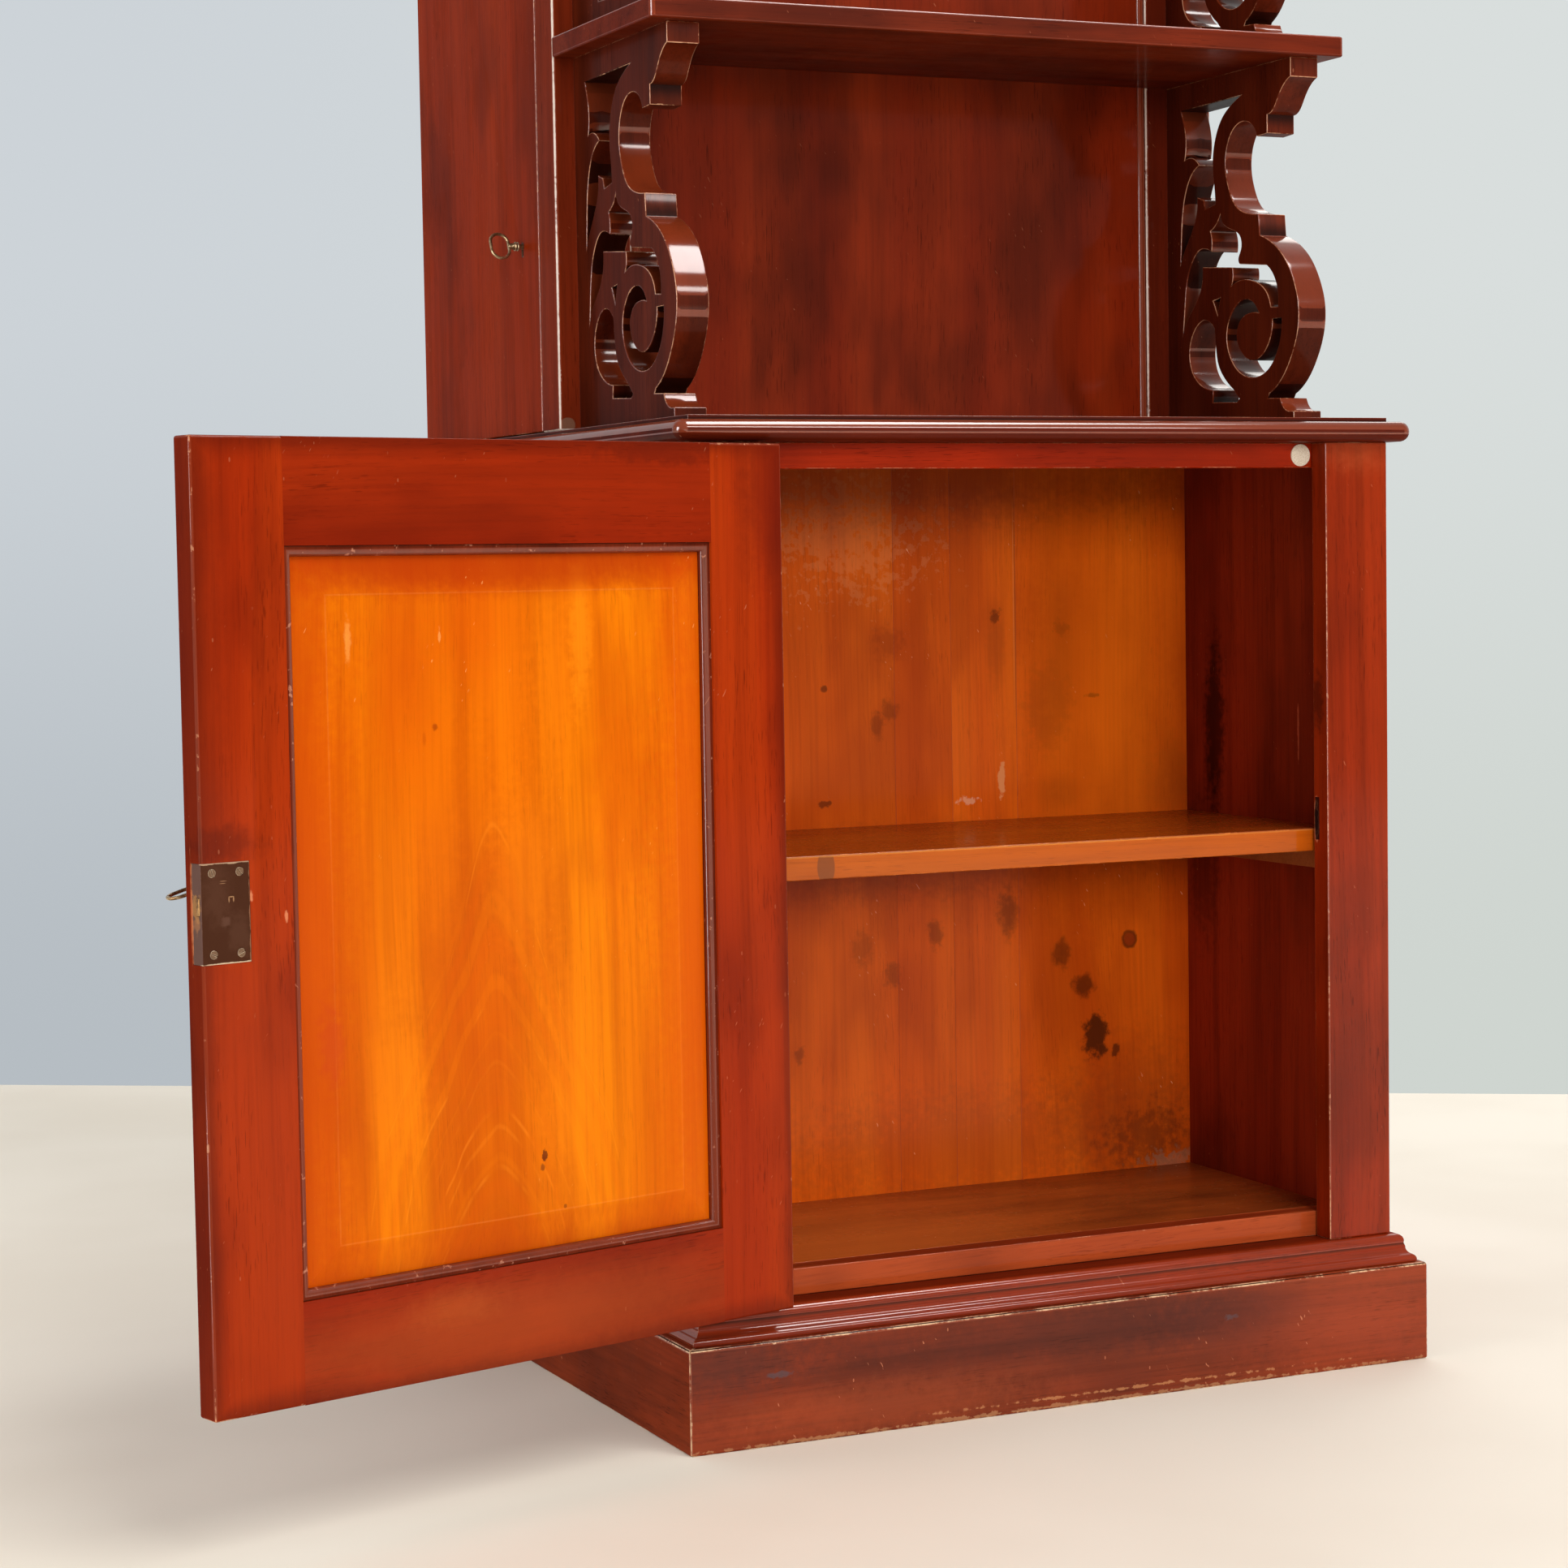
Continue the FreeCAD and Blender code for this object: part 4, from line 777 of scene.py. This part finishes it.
# Every plain board: wood, width of the softened arris in millimetres, and True for outer edges only
boards = {
    "plinth_front": ("plinthAcross", 1.6), "plinth_left plinth_right": ("plinthDeep", 1.6),
    "plinth_back": ("plainWood", 1.0), "base_moulding_front": ("baseMoulding", 0.3),
    "base_moulding_left base_moulding_right": ("redDeep", 0.3), "base_top": ("topBoardWood", 0.4),
    "base_side_left": ("redUp", 0.8), "base_side_right": ("innerSide", 0.8),
    "pilaster_left": ("redUp", 1.4, True), "pilaster_right": ("pilasterWood", 1.4, True),
    "cupboard_bottom_rail": ("bottomRail", 0.8), "cupboard_head_rail": ("headRail", 0.8),
    "cupboard_floor": ("floorBoard", 0.4), "cupboard_shelf": ("shelfWood", 1.2),
    "cupboard_shelf_battens": ("plainWood", 0.8), "base_back_panel": ("plainWood", 0.5),
    "door_hinge_stile door_lock_stile": ("doorUp", 2.0, True),
    "door_top_rail door_bottom_rail": ("doorAcross", 0.5, True),
    "display_shelf_lower display_shelf_upper": ("displayShelf", 0.4),
    "upper_front_panel": ("upperPanelWood", 0.4),
    "upper_post_left": ("postWood", 2.6, True), "upper_post_right": ("rightPostWood", 2.6, True),
    "upper_panel_beads": ("postWood", 0.3), "upper_top_board": ("redAcross", 0.4),
    "rear_posts": ("plainWood", 0.8, True), "upper_back_panel": ("plainWood", 0.5),
    "inner_shelves inner_shelf_battens": ("plainWood", 0.6),
    "side_door_left side_door_right": ("sideDoorWood", 1.4, True),
    "bracket_lower_left bracket_lower_right bracket_upper_left bracket_upper_right": ("darkUp", 1.0),
}


def closedBox(*names):
    spots = [closeDoor @ vert.co for name in names for vert in nodes[name].data.vertices]
    return [Vector([pick(spot[axis] for spot in spots) for axis in range(3)]) for pick in (min, max)]


doorBox = closedBox("door_hinge_stile", "door_lock_stile")


def slotOf(name):
    return nodes[name].data.materials[0].name


def dress(name, material, width, segments, outsideOnly=False, onDoor=False):
    bm = mergedCopy(name)
    if onDoor:
        bmesh.ops.transform(bm, matrix=closeDoor, verts=bm.verts)
    softenArrises(bm, width * mm, segments, outsideOnly, doorBox if onDoor else None)
    if name.startswith("bracket"):
        shadePiercings(bm)
    if onDoor:
        bmesh.ops.transform(bm, matrix=openDoor, verts=bm.verts)
    addPiece(plainName(name), bm, material, nodes[name]["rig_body"], slotOf(name), [name])


for names, (wood, width, *outsideOnly) in boards.items():
    for name in names.split():
        dress(name, woods[wood], width, 3, bool(outsideOnly), nodes[name]["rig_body"] == "front_door")
print("boards dressed")


# Upright boards behind the cupboard, each with its own tone, their joints where the photograph shows them
backBoards = {"joints": (-180, -11, 50, 121), "tones": (0.15, 0.55, 0.85, 0.35, 0.7), "arris": 0.5}


def addBackBoards():
    low, high = (Vector(corner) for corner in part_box("cupboard_back_boards"))
    bm = bmesh.new()
    tone = bm.verts.layers.float.new("boardTone")
    edges = [low.x] + [joint * mm for joint in backBoards["joints"]] + [high.x]
    for left, right, shade in zip(edges, edges[1:], backBoards["tones"]):
        made = bmesh.ops.create_cube(bm, size=1)["verts"]
        first, last = Vector((left, low.y, low.z)), Vector((right, high.y, high.z))
        bmesh.ops.scale(bm, vec=last - first, verts=made)
        bmesh.ops.translate(bm, vec=(first + last) / 2, verts=made)
        for vert in made:
            vert[tone] = shade
    softenArrises(bm, backBoards["arris"] * mm)
    addPiece("backBoards", bm, woods["backBoards"], "cabinet", "inner_wood", ["cupboard_back_boards"])


# The small mitred moulding round the door panel, one ring on each face of the door
# hollow is the share of painted shade in the quirk round each ring
doorBead = {"width": 8.0, "round": 5.2, "quirk": 0.7, "tongue": 6.0, "onPlane": 0.01, "hollow": 0.8,
            "worn": 0.85}


def addBeadRing(name, low, high, backY, faceY, standsFor):
    bm = bmesh.new()
    rubbed, polish, grime = wearAndShadeLayers(bm)
    onPlane = doorBead["onPlane"] * mm
    corners = [(low.x, low.z), (high.x, low.z), (high.x, high.z), (low.x, high.z)]
    middle = bm.faces.new([bm.verts.new((x, backY, z)) for x, z in corners])
    bm.normal_update()
    ring = bmesh.ops.inset_individual(bm, faces=[middle], thickness=doorBead["width"] * mm,
                                      use_even_offset=True)["faces"]
    bmesh.ops.delete(bm, geom=[middle], context="FACES_ONLY")
    raised = bmesh.ops.extrude_face_region(bm, geom=ring)["geom"]
    lifted = [item for item in raised if isinstance(item, bmesh.types.BMVert)]
    bmesh.ops.translate(bm, vec=(0, faceY - backY, 0), verts=lifted)
    bmesh.ops.recalc_face_normals(bm, faces=bm.faces)
    inner, outer = [], []
    for edge in bm.edges:
        if all(abs(vert.co.y - faceY) < onPlane for vert in edge.verts) and edge.calc_face_angle(0) > 1:
            away = edge.verts[0].co - low, high - edge.verts[0].co
            onRim = min(min(part.x, part.z) for part in away) < onPlane
            (outer if onRim else inner).append(edge)
    for edges, width, segments in ((inner, doorBead["round"], 5), (outer, doorBead["quirk"], 2)):
        for face in roundEdges(bm, edges, width * mm, segments):
            face[polish] = 1.0
            for loop in face.loops:
                # painted shade in the quirk beside the frame
                loop[grime] = doorBead["hollow"] if edges is outer else 0.0
                loop.vert[rubbed] = doorBead["worn"]
    bmesh.ops.transform(bm, matrix=openDoor, verts=bm.verts)
    addPiece(name, bm, woods["panelMoulding"], "front_door", "red_wood", standsFor)


addBackBoards()
beadLow, beadHigh = closedBox("door_panel_beads")
tongueY = closedBox("door_panel")[0].y
addBeadRing("panelMouldingInside", beadLow, beadHigh, tongueY + doorBead["tongue"] * mm, beadHigh.y,
            ["door_panel_beads"])
addBeadRing("panelMouldingOutside", beadLow, beadHigh, tongueY, beadLow.y, [])
print("back boards and panel mouldings made")

# Lock parts, keys, hinges and the felt buffer: finish and width of the softened arris in millimetres
fittings = {
    "door_lock_case": ("lockPlate", 0.6), "door_lock_screws": ("screwMetal", 0.25),
    "door_lock_bolt": ("boltBrass", 0.6), "door_escutcheon door_key": ("keyBrass", 0.3),
    "door_hinge_leaves hinge_fixed_leaves hinge_pins": ("oldBrass", 0.3), "door_buffer": ("felt", 0.3),
    "side_lock_left side_lock_right": ("lockMetal", 0.5), "side_bolt_left side_bolt_right": ("boltBrass", 0.5),
    "side_key_left side_key_right": ("keyBrass", 0.3),
    "side_door_left_hinge_leaves side_door_right_hinge_leaves": ("oldBrass", 0.3),
}

# Slotted wood screws in the open faces of hinge leaves and side locks, at shares of their width and height
screws = {"radius": 2.8, "slot": 0.45, "proud": 0.3, "sunk": 0.2, "steps": 9, "arris": 0.1, "leastShare": 0.5,
          "upright": 0.1, "scatter": 7, "leafSpots": ((0.4, 0.13), (0.66, 0.5), (0.4, 0.87)),
          "lockSpots": ((0.1, 0.09), (0.9, 0.09), (0.1, 0.91), (0.9, 0.91))}
screwHolders = {
    "door_hinge_leaves": "doorHingeScrews", "hinge_fixed_leaves": "fixedHingeScrews",
    "side_door_left_hinge_leaves": "leftHingeScrews", "side_door_right_hinge_leaves": "rightHingeScrews",
    "side_lock_left": "leftLockScrews", "side_lock_right": "rightLockScrews",
}
hingePins = [Vector(joint["pos_m"]) for joint in frame["joints"] if joint["name"].endswith("door_swing")]


def addScrewHead(bm, place):
    radius, half = screws["radius"] * mm, screws["slot"] / 2 * mm
    reach = math.acos(half / radius)
    for side in (1, -1):
        turns = [reach * (2 * step / screws["steps"] - 1) for step in range(screws["steps"] + 1)]
        rim = [(side * radius * math.cos(turn), radius * math.sin(turn)) for turn in turns]
        low = [bm.verts.new(place @ Vector((x, y, -screws["sunk"] * mm))) for x, y in rim]
        high = [bm.verts.new(place @ Vector((x, y, screws["proud"] * mm))) for x, y in rim]
        bm.faces.new(high)
        bm.faces.new(low[::-1])
        for step in range(-1, len(rim) - 1):
            bm.faces.new((low[step], low[step + 1], high[step + 1], high[step]))


def looseSolids(bm):
    bm.faces.index_update()
    seen = set()
    for first in bm.faces:
        reached = [] if first.index in seen else [first]
        for face in reached:
            seen.add(face.index)
            near = [other for edge in face.edges for other in edge.link_faces]
            reached += [other for other in near if other.index not in seen and other not in reached]
        if reached:
            yield reached


def openPlanes(solid, isLock):
    # each plane that faces the hinge pin, or the middle of the cabinet: area, distance, the point faced, faces
    planes = {}
    for face in solid:
        centre, normal = face.calc_center_bounds(), face.normal
        target = min(hingePins, key=lambda spot: (spot - centre).to_2d().length)
        target = Vector((0, centre.y, centre.z)) if isLock else target
        gap = normal.dot(target - centre)
        if abs(normal.z) < screws["upright"] and gap > 0:
            plane = tuple(round(value, 1) for value in normal), round(normal.dot(centre) / mm)
            planes.setdefault(plane, [0.0, gap, target, []])
            planes[plane][0] += face.calc_area()
            planes[plane][3].append(face)
    return list(planes.values())


def addScrews(holder, name):
    isLock = holder.startswith("side_lock")
    source = mergedCopy(holder)
    solids = [openPlanes(solid, isLock) for solid in looseSolids(source)]
    widest = max(plane[0] for planes in solids for plane in planes)
    bm = bmesh.new()
    for planes in solids:
        wide = [plane for plane in planes if plane[0] > widest * screws["leastShare"]]
        for target, faces in [plane[2:] for plane in sorted(wide, key=lambda plane: plane[1])[:1]]:
            normal = faces[0].normal
            spots = [vert.co for face in faces for vert in face.verts]
            across = Vector((0, 0, 1)).cross(normal)
            if across.dot(target - spots[0]) > 0:
                across.negate()
            sides = [across.dot(spot) for spot in spots]
            heights = [spot.z for spot in spots]
            for shareAcross, shareUp in screws["lockSpots" if isLock else "leafSpots"]:
                aside = min(sides) + (max(sides) - min(sides)) * shareAcross
                rise = min(heights) + (max(heights) - min(heights)) * shareUp
                place = Matrix((across, normal.cross(across), normal)).transposed().to_4x4()
                place.translation = normal * normal.dot(spots[0]) + across * aside + Vector((0, 0, rise))
                addScrewHead(bm, place @ Matrix.Rotation(shareUp * screws["scatter"] + shareAcross, 4, "Z"))
    source.free()
    bmesh.ops.recalc_face_normals(bm, faces=bm.faces)
    softenArrises(bm, screws["arris"] * mm)
    addPiece(name, bm, metals["screwMetal"], nodes[holder]["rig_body"], slotOf(holder))


for holder, name in screwHolders.items():
    addScrews(holder, name)
print("hinge and lock screws made:", len(screwHolders))
for names, (metal, width) in fittings.items():
    for name in names.split():
        dress(name, metals[metal], width, 2)
print("fittings dressed")

nodes["door_panel"].data.materials[0] = woods["doorPanelWood"]
print("carried panel finished")


# Camera at the photograph's place and angle
view = {"place": (-1.426886, -2.540542, 0.735679), "yaw": 0.42747, "pitch": 0.06351, "roll": 0.01639,
        "focal": 4108.99, "frame": 1932, "sensor": 36.0, "clip": (0.05, 60)}


def addCamera():
    yaw, pitch, roll = view["yaw"], view["pitch"], view["roll"]
    forward = Vector((math.sin(yaw) * math.cos(pitch), math.cos(yaw) * math.cos(pitch), -math.sin(pitch)))
    right = Vector((math.cos(yaw), -math.sin(yaw), 0))
    down = forward.cross(right)
    imageRight = math.cos(roll) * right + math.sin(roll) * down
    imageDown = -math.sin(roll) * right + math.cos(roll) * down
    camera = bpy.data.cameras.new("camera")
    camera.sensor_width = view["sensor"]
    camera.lens = view["sensor"] * view["focal"] / view["frame"]
    camera.clip_start, camera.clip_end = view["clip"]
    holder = addObject("camera", camera)
    turn = Matrix((imageRight, -imageDown, -forward)).transposed().to_4x4()
    holder.matrix_world = Matrix.Translation(view["place"]) @ turn
    scene.camera = holder


# Floor with its far edge where the photograph has it, a pale backdrop from the world, and soft lamps
stage = {"edgeLeft": (-0.222, 2.228), "edgeRight": (1.237, 1.290), "reachSide": 7.0, "reachNear": 8.0,
         "floor": (243, 236, 223), "floorDim": (237, 229, 215)}


def addFloor():
    left, right = Vector(stage["edgeLeft"]).to_3d(), Vector(stage["edgeRight"]).to_3d()
    along = (right - left).normalized()
    near = Vector((along.y, -along.x, 0))
    bm = bmesh.new()
    corners = [left - along * stage["reachSide"], right + along * stage["reachSide"]]
    corners += [corner + near * stage["reachNear"] for corner in reversed(corners)]
    bm.faces.new([bm.verts.new(corner) for corner in corners])
    bmesh.ops.recalc_face_normals(bm, faces=bm.faces)
    mesh = bpy.data.meshes.new("floor")
    bm.to_mesh(mesh)
    bm.free()
    material, shader, place = startMaterial("paleFloor")
    cloud = noise(place, 1, 1.6, 3.0)
    colour = blend(ease(cloud, 0.35, 0.65), rgb(*stage["floorDim"]), rgb(*stage["floor"]))
    fill(shader, {"Base Color": colour, "Roughness": 0.7, "Specular IOR Level": 0.15})
    mesh.materials.append(material)
    floor = addObject("floor", mesh)


def addWorld():
    sky = {"lowLeft": (182, 189, 195), "lowRight": (207, 213, 208), "highLeft": (205, 211, 216),
           "highRight": (217, 222, 221), "studio": (118, 117, 114), "fillNear": (160, 157, 152),
           "fillFar": (214, 218, 222), "fill": 1.2}
    world = bpy.data.worlds.new("studio")
    world.use_nodes = True
    scene.world = world
    shading["tree"] = world.node_tree
    direction = addNode("TexCoord")["Generated"]
    height = partsOf(direction)[2]
    ahead = Vector((math.sin(view["yaw"]), math.cos(view["yaw"]), 0))
    aside = Vector((math.cos(view["yaw"]), -math.sin(view["yaw"]), 0))
    depth, side = (vectorCalc("DOT_PRODUCT", direction, axis) for axis in (ahead, aside))
    toRight = ease(side, -0.22, 0.2)
    low, high = (blend(toRight, rgb(*sky[row + "Left"]), rgb(*sky[row + "Right"])) for row in ("low", "high"))
    paper = blend(ease(height, -0.14, 0.1), low, high)
    seen = blend(ease(depth, 0.0, 0.6), rgb(*sky["studio"]), paper)
    around = blend(ease(depth, -0.25, 0.6), rgb(*sky["fillNear"]), rgb(*sky["fillFar"]))
    backdrop = addNode("Background", {"Color": seen, "Strength": 1.0})
    light = addNode("Background", {"Color": around, "Strength": sky["fill"]})
    rays = addNode("LightPath")
    lookedAt = calc("MAXIMUM", rays["Is Camera Ray"], rays["Is Glossy Ray"])
    lookedAt = calc("MAXIMUM", lookedAt, rays["Is Transmission Ray"])
    mixed = addNode("MixShader", {0: lookedAt, 1: light[0], 2: backdrop[0]})[0]
    plug(world.node_tree.nodes["World Output"].inputs["Surface"], mixed)


# Each lamp: place, aim, size, power in watts, tint, and the one kind of light that it gives, if not both
lamps = {
    "frontSoftbox": ((-1.13, -8.66, 2.4), (-0.1, 0.1, 0.6), (2.3, 2.06), 250, (255, 250, 245), "diffuse"),
    "topSoftbox": ((0.98, -4.0, 4.8), (-0.1, -0.3, 0.2), (4.0, 3.1), 202, (255, 252, 248), "diffuse"),
    "noseSoftbox": ((1.3, -2.9, 2.4), (0.0, 0.0, 0.9), (1.5, 0.42), 24, (255, 252, 248), "glossy"),
    "overheadStrip": ((0.74, -0.6, 3.0), (-0.2, 0.05, 1.0), (1.4, 0.9), 54, (255, 252, 250), "glossy"),
    "leftStrip": ((-3.3, -0.7, 1.2), (-0.3, 0.3, 1.0), (1.2, 2.6), 130, (250, 252, 255), "glossy"),
    "leftSoftbox": ((-3.2, -0.6, 1.2), (-0.4, 0.3, 0.8), (0.5, 2.2), 20, (255, 252, 248), "diffuse"),
    "backSoftbox": ((1.6, 2.4, 2.8), (1.3, 1.5, 0.0), (3.0, 1.2), 35, (255, 252, 246), "both"),
}


def addLamps():
    for name, (place, aim, size, power, tint, only) in lamps.items():
        light = bpy.data.lights.new(name, "AREA")
        light.shape = "RECTANGLE"
        light.size, light.size_y = size
        light.energy = power
        light.color = rgb(*tint)[:3]
        holder = addObject(name, light)
        holder.visible_diffuse = only != "glossy"
        holder.visible_glossy = only != "diffuse"
        facing = (Vector(aim) - Vector(place)).to_track_quat("-Z", "Y")
        holder.matrix_world = Matrix.Translation(place) @ facing.to_matrix().to_4x4()


scene.view_settings.view_transform = "Standard"
addCamera()
addFloor()
addWorld()
addLamps()
print("camera, floor and lamps set")
